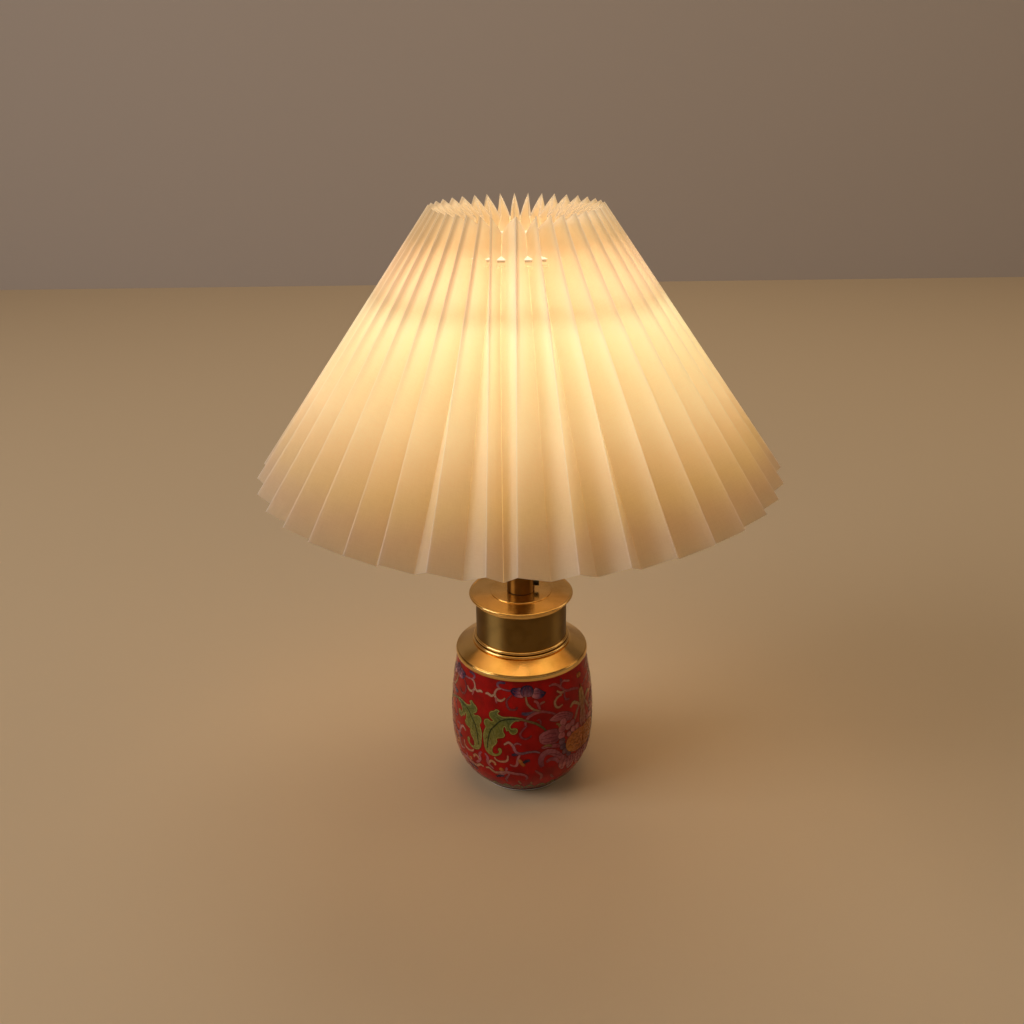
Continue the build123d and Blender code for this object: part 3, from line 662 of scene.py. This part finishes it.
# points are degrees from the leaves' axis and height in mm
leafShape = (
    (34, 64.9), (28.7, 65.8), (23.7, 66), (18.3, 65.5), (15.3, 66), (13.1, 67), (14.6, 68.5), (13.8, 69.3), (11.8, 69.7),
    (9.9, 68.5), (6.9, 67.4), (5.7, 65.5), (6.6, 63.5), (8.6, 62.2), (9.6, 61.6), (7.4, 61.2), (4.9, 62), (2.2, 61.2),
    (1.2, 59.7), (1.7, 57.8), (2.9, 56.2), (1.9, 54.3), (1, 52), (0.6, 49.7), (1, 46.2), (1.4, 43.1), (2.4, 40),
    (4.2, 38.1), (7.4, 36.9), (10.9, 36.9), (13.8, 37.9), (15.8, 39.6), (16.5, 41.5), (15.8, 43.1), (14.3, 43.3),
    (13.3, 42.1), (14.3, 41), (13.8, 39.6), (11.3, 38.5), (8.9, 39.2), (8.6, 41.5), (9.6, 43.7), (11.8, 45.8), (12.8, 47.7),
    (12.8, 49.9), (15.8, 50.8), (18.3, 51.6), (19.3, 53.5), (18, 55.5), (18, 57.8), (19, 58.9), (19.8, 57.4), (20.5, 56.2),
    (22.2, 56.6), (23.2, 55.1), (25.2, 54.1), (27.7, 54.7), (29.2, 56.2), (28.9, 58.2), (26.7, 58.5), (24.2, 58.2),
    (23.7, 59.7), (25.2, 61.6), (27.7, 63.2), (30.7, 63.5),
)
leafMidrib = (
    (27.7, 64.7), (22.7, 64.3), (17.8, 63.3), (14.3, 61.6), (10.9, 58.5), (7.9, 55.5), (6.1, 52), (5.2, 48.5), (4.7, 45.4),
    (4.2, 41.5),
)
leafVeins = (
    ((10.9, 58.5), (8.2, 59.2), (5.2, 59.6)), ((7.9, 55.5), (5.6, 55.2), (3.6, 54.4)), ((5.6, 50), (3.6, 48.8), (2.2, 47)),
    ((12.4, 60), (14.2, 57), (15.6, 54)), ((8.6, 56.2), (10, 53), (10.6, 50)), ((6, 51.5), (7.6, 48), (8, 45)),
    ((16, 62.6), (12.6, 64.2), (9.4, 65.2)), ((20.6, 64), (21.6, 61.4), (22.4, 58.4)),
    ((22.4, 58.4), (24.4, 56.6), (27, 56.4)),
)

# shapes: colours, where they run from and to, order of laying, outline
flowerShapes = (
    # lotus under the rim
    (("#a96766", "#934f57", "#2c2141", "#1c1531"), (33.5, 80), (24, 82.6), 0, ((23.5, 82.6), (25.2, 84.1), (28.2, 84.3),
     (30.7, 84.7), (32.5, 84), (33.8, 81.5), (33.6, 78.7), (30.7, 78.7), (27.7, 79.1), (25.2, 80.5))),
    (("#a96766", "#934f57", "#2c2141", "#1c1531"), (42, 80), (52.4, 80.4), 0, ((41, 79), (42.2, 82), (44.2, 84.1),
     (46.5, 83.6), (48.5, 82.4), (51, 81.2), (53, 80.3), (51.2, 78.6), (49, 77.6), (46.5, 77.2), (44.2, 77.4))),
    (("#845058", "#4a3548", "#24203c", "#1a1836"), (37, 79.4), (37, 85.4), 2, ((33.5, 79.6), (31.8, 82), (32.4, 84.2),
     (34.5, 85.5), (37, 85.9), (39.6, 85.6), (41.8, 84.2), (42.4, 82), (40.8, 79.6), (37, 79))),
    # back petals of the large flower
    (("#6e2d35", "#92454b", "#9f5b5b"), (76, 58), (56, 63), 0, ((54.9, 62), (58.7, 64), (64, 65.3), (68.9, 64.5),
     (73.7, 62.8), (77.4, 60.3), (76, 57.8), (73, 57.4), (66, 59.5), (60, 60))),
    (("#6e2d35", "#8b4247", "#9c5759"), (63, 50), (46.5, 51), 1, ((46.4, 52.8), (51.7, 55.3), (58.1, 55.3), (62.4, 54),
     (63.4, 50), (62, 46.5), (57, 45.2), (50, 46), (46.5, 48.5))),
    (("#7a3239", "#985055"), (62, 45), (49, 43.8), 2, ((47.6, 44.2), (52, 45.4), (58, 44.8), (63, 43.8), (64, 41.4),
     (60, 41.6), (54, 43), (49.6, 42.8))),
    # lower petals
    (("#7a3239", "#9c5759", "#a46360"), (69, 31), (66, 22.6), 1, ((66.5, 31.8), (64, 29.5), (63.5, 26.5), (65.5, 23.8),
     (68.5, 22.2), (70.5, 25), (72, 28.5), (70.5, 31.4))),
    (("#7a3239", "#9c5759", "#a46360"), (77, 30), (75.5, 20.5), 2, ((72.5, 31.2), (71.5, 27), (72.5, 23), (75.5, 20.3),
     (79, 21.8), (80.5, 26), (80, 30.5))),
    (("#7a3239", "#9c5759", "#a46360"), (88, 30), (88, 19), 3, ((90, 30.8), (90, 30.8), (82, 30.4), (81.2, 26), (83, 22),
     (86.5, 19.6), (90, 18.8), (90, 18.8))),
    # the heart
    (("#8d481f", "#a96627", "#9a5321"), (89, 32), (80, 47), 6, ((90, 31.6), (90, 31.6), (84, 31.9), (77.5, 33), (72, 35.6),
     (69.4, 39.5), (70.2, 43.5), (74, 46.6), (80, 47.8), (86, 47.6), (90, 47.2), (90, 47.2))),
    # finial on the flower's axis, and the bead over it
    (("#8b4c44", "#8b6037", "#926b3d"), (88, 50), (88, 72), 8, ((90, 48.6), (90, 48.6), (86.4, 49), (85.6, 54), (86.8, 60),
     (86.4, 66), (86.6, 70.5), (87.4, 73), (90, 74.3), (90, 74.3))),
    (("#a4652a", "#985720"), (88, 81), (88, 84), 0, ((90, 80.7), (90, 80.7), (87.9, 81), (86.9, 82.2), (87.9, 83.4),
     (90, 83.7), (90, 83.7))),
)

# round petals of the large flower: colours, order of laying, half width, middle
flowerLobes = (
    (("#92454b", "#a46260"), 3, 2.5, (67.2, 58)), (("#853b42", "#9f5859"), 4, 2.6, (65.6, 53.6)),
    (("#92454b", "#a46260"), 3, 2.5, (65.2, 49)), (("#522d39", "#704750"), 5, 2.3, (65.6, 44.6)),
    (("#402536", "#623f4c"), 4, 2.2, (66.6, 40.6)), (("#522d39", "#704750"), 5, 2.2, (69, 36.6)),
    (("#402536", "#6c454f"), 4, 2.0, (73, 33.6)), (("#853b42", "#a4625d"), 7, 1.9, (72.6, 48)),
    (("#92454b", "#ab6b64"), 8, 2.0, (77, 50)), (("#853b42", "#a4625d"), 7, 2.0, (81.8, 50.4)),
    (("#8b4247", "#a4625d"), 4, 2.2, (71.6, 53.4)), (("#7a3239", "#9c5759"), 4, 2.1, (76.6, 54.6)),
)

# scales on the large flower's heart: rows and columns, pitch, lowest row, the heart's middle and reach, half size
heartScales = {
    "rows": 4, "pitch": (5.4, 3.2), "lowest": 34.4, "middle": (90, 39.6), "reach": (20, 7.4), "size": (2.5, 1.9),
    "colours": ("#632e0d", "#723c15"),
}

# brush lines: colours, half width, points
scrollLines = (
    (("#2a2641", "#684252", "#995756"), 0.75, ((18.8, 87), (16.8, 86.9), (13.9, 86.8), (12.2, 86.1), (11.8, 85.1),
     (13.1, 83.9), (15.1, 83.2))),
    (("#995756", "#683e4c"), 0.5, ((15.1, 83.2), (18.3, 82.8), (21.2, 82.6), (23.6, 82.6))),
    (("#a26b5c", "#a77d5e", "#a47859"), 0.72, ((15.1, 83.2), (12.3, 82.6), (10.4, 80.8), (9.9, 78.9), (10.9, 77.2),
     (13.1, 75.8), (15.8, 75.7), (18, 76.8), (18.8, 77.8))),
    (("#a77d5e", "#ab8267"), 0.75, ((9.9, 79), (7.4, 77.6), (5.4, 78), (3.4, 78.5), (1.5, 78))),
    (("#a26059", "#8b3b39"), 0.6, ((10.9, 77.2), (11.3, 75.5), (12.1, 73.5))),
    (("#682c31", "#743131", "#5c1b21"), 0.6, ((24.6, 80), (21.2, 77.4), (20.3, 75.1), (21.2, 72.4), (23.5, 70.8),
     (26.2, 70.7), (28.4, 71.4), (28.7, 72.8))),
    (("#86623d", "#926b4c", "#7f5636"), 0.7, ((36.1, 79.3), (36.3, 77), (37.1, 74.7), (39, 72.8), (41.5, 71), (44.5, 69.9),
     (47.5, 69.3))),
    (("#99514c", "#8b4042"), 0.85, ((42.5, 75.8), (44.5, 75.5), (45.6, 74.2), (46.4, 72.4), (47.4, 70.2))),
    (("#8b4042", "#7f5642"), 0.65, ((46.6, 72.6), (48.5, 73.9), (51.7, 74.7))),
    (("#363147", "#423749", "#684247"), 1.0, ((32.4, 68.5), (35.1, 68), (38.1, 68.2), (43, 68.9))),
    (("#793b41", "#8b4645", "#924e4c", "#7f3b41"), 0.85, ((60.1, 65.2), (53.9, 67.4), (49, 68.5), (44.2, 68.3), (40.1, 67),
     (37.8, 65.7), (36.1, 63.5), (35.4, 61.6), (36.1, 59.5))),
    (("#7f3b41", "#743136", "#68262b"), 0.6, ((36.1, 60), (34.1, 58.2), (32.1, 56.2), (31.1, 54.3), (32.1, 52.4),
     (35.1, 51.2), (38.1, 52), (40.1, 53.5))),
    (("#7f3b41", "#68262b"), 0.5, ((44.6, 63.6), (46.6, 63.4), (47.6, 61.8), (47.4, 60.2))),
    (("#423d1f", "#5c4e2a", "#685331"), 0.7, ((51.7, 55.3), (49.6, 57.4), (46.9, 59.3), (44.2, 61), (41, 62.2),
     (37.6, 63.2), (33.4, 64.2), (29.7, 64.5))),
    (("#a4714c", "#a77656", "#9e624c"), 0.7, ((10.1, 36), (11.3, 34.4), (14.3, 33.5), (17.8, 33.8), (20.3, 34.8),
     (21.2, 36.5), (21.2, 38.8))),
    (("#a77f63", "#a26c5c", "#925156", "#68464c", "#795156"), 0.85, ((18.5, 46.5), (20.8, 47.9), (22.2, 48.5), (24.2, 47.3),
     (25.7, 45.8), (26.7, 43.5), (28.2, 41.7), (30.7, 40.8), (33.6, 41), (38.1, 41.7), (43, 41.7), (46.5, 40.4))),
    (("#985754", "#864244"), 0.6, ((26, 45.6), (26.6, 47), (28, 47.9), (30.2, 47.9), (31.9, 46.9))),
    (("#251b30", "#36273c"), 0.95, ((24.4, 39.6), (27.2, 39.9), (30, 40.8))),
    (("#985754", "#9e5f56", "#924b47"), 0.8, ((31.1, 40.4), (29.7, 38.1), (28.9, 35.8), (28.7, 33.5), (27.7, 31.5),
     (25.2, 31.2), (22.6, 32.1))),
    (("#a46631", "#9e5721", "#984c19"), 1.25, ((29.9, 36.2), (32.1, 33.6), (34.3, 31.2))),
    (("#1f172a", "#2a2035"), 0.95, ((33.4, 33.6), (35.6, 35), (38.6, 35.6))),
    (("#92464c", "#9b5352", "#984b47"), 0.95, ((1.6, 36.8), (3.9, 34.6), (3.7, 32.3), (3.9, 30.4), (5.4, 28.5),
     (8.4, 26.4))),
    (("#a77b59", "#ab7147", "#a46841"), 0.85, ((4.8, 30.2), (6, 31.8), (7.9, 32.5), (10.2, 31.2), (10.2, 29.6))),
    (("#a27b56", "#9e714f", "#9b6252", "#985652", "#924e4f", "#864347"), 1.0, ((1.2, 25.4), (4.4, 26.1), (6.9, 24.6),
     (9.9, 23.5), (13.8, 24.2), (16.8, 25), (21.7, 25.4), (26.7, 24.8), (31.6, 24.4), (35.1, 23.1), (36.6, 20.8),
     (35.2, 19.4))),
    (("#ab6831", "#9e5721"), 1.35, ((13.8, 27.8), (15.4, 27), (17.2, 26.2))),
    (("#984b52", "#985652"), 0.75, ((19.8, 29.4), (19.6, 27.6), (18.6, 25.6))),
    (("#924e4f", "#9b625c"), 0.7, ((11.8, 21.5), (15.8, 22.7), (18.6, 24.4))),
    (("#1f172a", "#2a2035"), 0.95, ((9.5, 19.4), (13.3, 21), (17, 21.6))),
    (("#925352", "#7f4241"), 0.7, ((21.9, 24), (19.8, 21.2), (18.3, 18.5), (19.3, 16.2))),
    (("#8b6647", "#795136"), 0.7, ((29.2, 18), (30, 16), (31.2, 14.2))),
    (("#8b6647", "#795136"), 0.7, ((40.2, 16), (40.8, 13.6))),
    (("#8b4945", "#985652"), 0.8, ((43, 27), (45.5, 25), (48.4, 22.6), (48.8, 19.6), (47.6, 18))),
    (("#8b4945", "#7f3b3c"), 0.7, ((57, 21), (58.6, 18.8), (61, 16.6))),
    (("#924e4c", "#8b4344", "#863e41", "#743136"), 0.8, ((56.2, 83.6), (59.2, 84.1), (62.4, 83.7), (65.6, 82), (68.3, 79.9),
     (71, 78), (74.2, 77), (78.5, 76.6), (83.3, 75.5), (87, 74.2))),
    (("#8b4344", "#422c3d"), 0.85, ((66.6, 81.4), (68.3, 84.1), (67.8, 86.2))),
    (("#924e4c", "#9b6256"), 0.6, ((67.9, 83.2), (71, 84.1), (74.2, 83.2), (77.4, 82.6))),
    (("#987152", "#92604c"), 0.75, ((63, 79.4), (66.7, 77.6), (71.4, 77.4))),
    (("#743136", "#7f3b41"), 0.65, ((70.6, 77.6), (69.9, 74), (71.4, 72), (74.8, 71.4))),
    (("#987152", "#9b7354", "#8b6347"), 0.75, ((67.4, 76.2), (63.5, 75.5), (60.8, 73.7), (60.3, 71.6), (61.4, 69.5),
     (64, 68.7), (67.4, 69.7))),
    (("#8b6741", "#95714f", "#86623c"), 1.0, ((87, 63.4), (83.3, 65.7), (79.6, 67.4), (76.9, 66.8), (75, 65.5))),
    (("#865747", "#8b6044"), 0.95, ((86.6, 64.4), (82.6, 60.6), (80.6, 57.6), (78, 55.3))),
    (("#682c36", "#8b494f", "#925156", "#864249", "#7f3e47"), 2.1, ((49, 29.2), (47.4, 33.4), (48.6, 37.8), (52.6, 39.8),
     (57.4, 38.8), (61.6, 36), (65.6, 33), (69, 31.2))),
    (("#74373f", "#8b4b58"), 1.3, ((52, 32.4), (56, 34), (60.4, 32.6), (63.4, 29.4))),
    (("#7f6236", "#68572e"), 0.7, ((49.6, 44.4), (53.2, 44.8), (56.6, 43.6))),
    (("#7f6236", "#68572e"), 0.7, ((60.4, 58.4), (63, 57.2), (63.6, 55))),
)

# fine lines on the petals
petalVeins = (
    ((75, 59), (68, 62), (58, 62.4)), ((75.4, 60.2), (69, 63.4), (61, 64)), ((62, 51.6), (55, 52.8), (48.4, 51.4)),
    ((62.4, 49.6), (55, 49.8), (47.6, 49.8)), ((61.6, 47.6), (55.6, 47), (49.6, 47.6)),
    ((69, 30.6), (67, 27), (67.4, 23.6)), ((76, 30.6), (75, 26), (75.6, 21.6)), ((78, 30.4), (78, 26), (76.6, 22)),
    ((86, 30), (85.4, 25.4), (87, 20.8)), ((66, 33.4), (58, 37.6), (51, 38)), ((87.6, 51), (87.4, 58), (88, 66)),
    ((34.4, 80), (34, 82.6), (35, 85)), ((37, 79.6), (37, 85.4)), ((39.8, 80), (40.2, 82.6), (39, 85)),
    ((31.6, 80.4), (28, 81), (25, 82.4)), ((32, 82.4), (29, 83), (26, 83.4)), ((43, 80.6), (47, 80.4), (51.6, 80.2)),
    ((43.4, 82.4), (46.6, 82), (50, 81)),
)

# border of lappets round the foot: how many to a quarter, outline, colours
footBorder = {
    "count": 8, "colours": ("#403c19", "#66602c"), "rim": ("#7d733b",), "rimWidth": 0.4,
    "shape": ((-4.4, 7.4), (-4.9, 9.4), (-3.2, 11.2), (0, 12.8), (3.2, 11.2), (4.9, 9.4), (4.4, 7.4), (0, 6.8)),
}


def smoothLine(points, closed=False, parts=5):
    # a soft line through the points, in mm along the girth and up
    spots = [Vector((math.radians(turn) * enamelWork["girth"], height)) for turn, height in points]
    count = len(spots)
    line = []
    for index in range(count if closed else count - 1):
        near = [index + step for step in (-1, 0, 1, 2)]
        a, b, c, d = (spots[spot % count if closed else min(max(spot, 0), count - 1)] for spot in near)
        for part in range(parts):
            t = part / parts
            line.append(0.5 * (2 * b + (c - a) * t + (2 * a - 5 * b + 4 * c - d) * t ** 2
                               + (3 * b - a - 3 * c + d) * t ** 3))
    return line if closed else line + spots[-1:]


def mixColours(colours, share):
    if len(colours) == 1:
        return hexColour(colours[0])
    place = min(max(share, 0.0), 1.0) * (len(colours) - 1)
    index = min(int(place), len(colours) - 2)
    first, second = hexColour(colours[index]), hexColour(colours[index + 1])
    return [a + (b - a) * (place - index) for a, b in zip(first, second)]


def layStroke(line, left, right, colours, lift, closed=False):
    # a ribbon along the line, left and right of it by so much
    if closed:
        line = line + line[:1]
    count = len(line)
    across = 2 if max(left + right) < 0.6 else 4    # a thin line needs fewer rows
    bpy.ops.mesh.primitive_grid_add(x_subdivisions=count - 1, y_subdivisions=across, size=2)
    stroke = bpy.context.object
    paint = stroke.data.color_attributes.new("paint", "FLOAT_COLOR", "POINT")
    for index, vertex in enumerate(stroke.data.vertices):
        row, column = divmod(index, count)
        if closed:
            ahead = line[(column + 1) % (count - 1)] - line[(column - 1) % (count - 1)]
        else:
            ahead = line[min(column + 1, count - 1)] - line[max(column - 1, 0)]
        square = Vector((-ahead.y, ahead.x)).normalized()
        spot = min(column, len(left) - 1)
        aside = -right[spot] + (left[spot] + right[spot]) * row / across
        vertex.co = (line[column] + square * aside).to_3d() + Vector((0, 0, lift))
        paint.data[index].color = mixColours(colours, column / (count - 1))
    return stroke


def layShape(points, colours, start, end, lift):
    # a filled outline, its colours running from start to end
    line = smoothLine(points, closed=True)
    area = sum(a.x * b.y - b.x * a.y for a, b in zip(line, line[1:] + line[:1]))
    if area < 0:
        line.reverse()
    bpy.ops.mesh.primitive_circle_add(vertices=len(line), fill_type="NGON")
    shape = bpy.context.object
    paint = shape.data.color_attributes.new("paint", "FLOAT_COLOR", "POINT")
    low, high = smoothLine((start, end), parts=1)
    way = high - low
    for index, vertex in enumerate(shape.data.vertices):
        vertex.co = line[index].to_3d() + Vector((0, 0, lift))
        paint.data[index].color = mixColours(colours, (line[index] - low).dot(way) / way.length_squared)
    return shape, line


def joined(items):
    only(*items)
    if len(items) > 1:
        bpy.ops.object.join()
    return bpy.context.object


def cutFine(item):
    # triangles, then cut into small cells so that they can follow the jar
    corners = [vertex.co for vertex in item.data.vertices]
    editAll(item)
    bpy.ops.mesh.quads_convert_to_tris(quad_method="BEAUTY", ngon_method="BEAUTY")
    for axis, size in enumerate(enamelWork["cell"]):
        low, high = min(spot[axis] for spot in corners), max(spot[axis] for spot in corners)
        for step in range(1, int((high - low) / size) + 1):
            place, facing = [0, 0, 0], [0, 0, 0]
            place[axis], facing[axis] = low + step * size, 1
            bpy.ops.mesh.select_all(action="SELECT")
            bpy.ops.mesh.bisect(plane_co=place, plane_no=facing)
    leaveEdit()


def jarOutline():
    # height and radius of the jar's outer wall, read from its mesh where it faces outward
    rings = {}
    for vertex in nodes["ceramic_body"].data.vertices:
        spot, facing = vertex.co, vertex.normal
        radius = math.hypot(spot.x, spot.y)
        if radius > 25 * mm and spot.x * facing.x + spot.y * facing.y > 0.35 * radius:
            height = round(spot.z / mm, 2)
            rings[height] = max(rings.get(height, 0), radius / mm)
    return sorted(rings.items())


def wrapOnJar(item, outline):
    work = enamelWork
    for vertex in item.data.vertices:
        along, height, lift = vertex.co
        below = max((pair for pair in outline if pair[0] <= height), default=outline[0])
        above = min((pair for pair in outline if pair[0] > height), default=outline[-1])
        gap = above[0] - below[0]
        radius = below[1] + (above[1] - below[1]) * ((height - below[0]) / gap if gap > 0 else 0) + lift
        turn = math.radians(work["axis"]) + along / work["girth"]
        vertex.co = Vector((radius * math.sin(turn), -radius * math.cos(turn), height)) * mm


def finishEnamel(name, items, outline, material):
    work = enamelWork
    piece = joined(items)
    applyModifier(piece, "MIRROR", use_axis=(True, False, False), use_mirror_merge=False)
    applyModifier(piece, "ARRAY", count=2, use_relative_offset=False, use_constant_offset=True,
                  constant_offset_displace=(math.pi * work["girth"], 0, 0))
    wrapOnJar(piece, outline)
    editAll(piece)
    bpy.ops.mesh.remove_doubles(threshold=0.002 * mm)
    leaveEdit()
    applyModifier(piece, "SOLIDIFY", thickness=work["skin"] * mm, offset=-1.0)
    smooth(piece, 40)
    dress(piece, name, "base", material)
    print(name, len(piece.data.polygons), "faces")


def paintJar():
    work = enamelWork
    material = overglazeEnamel()
    outline = jarOutline()
    strokes = {"leaf_enamel": [], "flower_enamel": [], "scroll_enamel": [], "foot_enamel": []}
    fills = {name: [] for name in strokes}
    bpy.ops.object.select_all(action="DESELECT")

    def height(order):
        return work["lift"] + work["step"] * order

    def addShape(group, points, colours, start, end, order, rim=(), rimWidth=0.0):
        shape, line = layShape(points, colours, start, end, height(order))
        fills[group].append(shape)
        count = len(line)
        edges = [(0.1, work["line"], (work["ink"],), -0.5)]    # inner and outer width, colours, order
        if rim:
            edges.append((rimWidth, -0.05, rim, 0.3))
        for inside, outside, tones, above in edges:
            edge = layStroke(line, [inside] * count, [outside] * count, tones, height(order + above), closed=True)
            strokes[group].append(edge)

    def addLine(group, points, colours, width, order, shadowEdged=False):
        line = smoothLine(points)
        last = len(line) - 1
        swells = [0.08 + 0.84 * index / last for index in range(last + 1)]    # thin at both ends, full between them
        widths = [width * (0.3 + 0.7 * math.sin(math.pi * swell) ** 0.6) for swell in swells]
        strokes[group].append(layStroke(line, widths, widths, colours, height(order)))
        # painted shade: a wider dark red stroke under the line, showing along its edges
        if shadowEdged:
            wider = [value + 0.2 for value in widths]
            strokes[group].append(layStroke(line, wider, wider, (work["lineShade"],), height(order - 0.5)))

    addShape("leaf_enamel", leafShape, work["leaf"], *work["leafRun"], 1, work["leafRim"], work["rimWidth"])
    addLine("leaf_enamel", leafMidrib, work["midrib"], 0.42, 4)
    for vein in leafVeins:
        addLine("leaf_enamel", vein, work["leafVein"], 0.2, 3)
    for colours, start, end, order, points in flowerShapes:
        addShape("flower_enamel", points, colours, start, end, order)
    for colours, order, size, (turn, level) in flowerLobes:
        wide = math.degrees(size / work["girth"])
        steps = [step * math.pi / 4 for step in range(8)]
        ring = [(turn + wide * math.cos(step), level + size * math.sin(step)) for step in steps]
        addShape("flower_enamel", ring, colours, (turn + 3, level), (turn - 3, level), order)
    for vein in petalVeins:
        addLine("flower_enamel", vein, work["petalVein"], 0.2, 11)
    heart = heartScales
    (middle, centre), (wide, tall), (half, rise) = heart["middle"], heart["reach"], heart["size"]
    for row in range(heart["rows"]):
        for step in range(heart["rows"]):
            turn = middle - heart["pitch"][0] * (step + 0.5 * (row % 2 == 0))
            level = heart["lowest"] + heart["pitch"][1] * row
            if ((turn - middle) / wide) ** 2 + ((level + 0.6 - centre) / tall) ** 2 < 0.8 and turn < middle - 1:
                arch = (turn - half, level), (turn, level + rise), (turn + half, level)
                addLine("flower_enamel", arch, heart["colours"], 0.22, 11)
    for index, (colours, width, points) in enumerate(scrollLines):
        addLine("scroll_enamel", points, colours, width, index % 8, shadowEdged=True)
    border = footBorder
    for index in range(border["count"]):
        middle = 90 / border["count"] * (index + 0.5)
        points = [(middle + turn, level) for turn, level in border["shape"]]
        addShape("foot_enamel", points, border["colours"], (middle, 7), (middle, 12.6), 1, border["rim"], border["rimWidth"])
    for name, items in strokes.items():
        if fills[name]:
            filled = joined(fills[name])
            cutFine(filled)
            items = [filled] + items
        finishEnamel(name, items, outline, material)


paintJar()
print("jar painted")
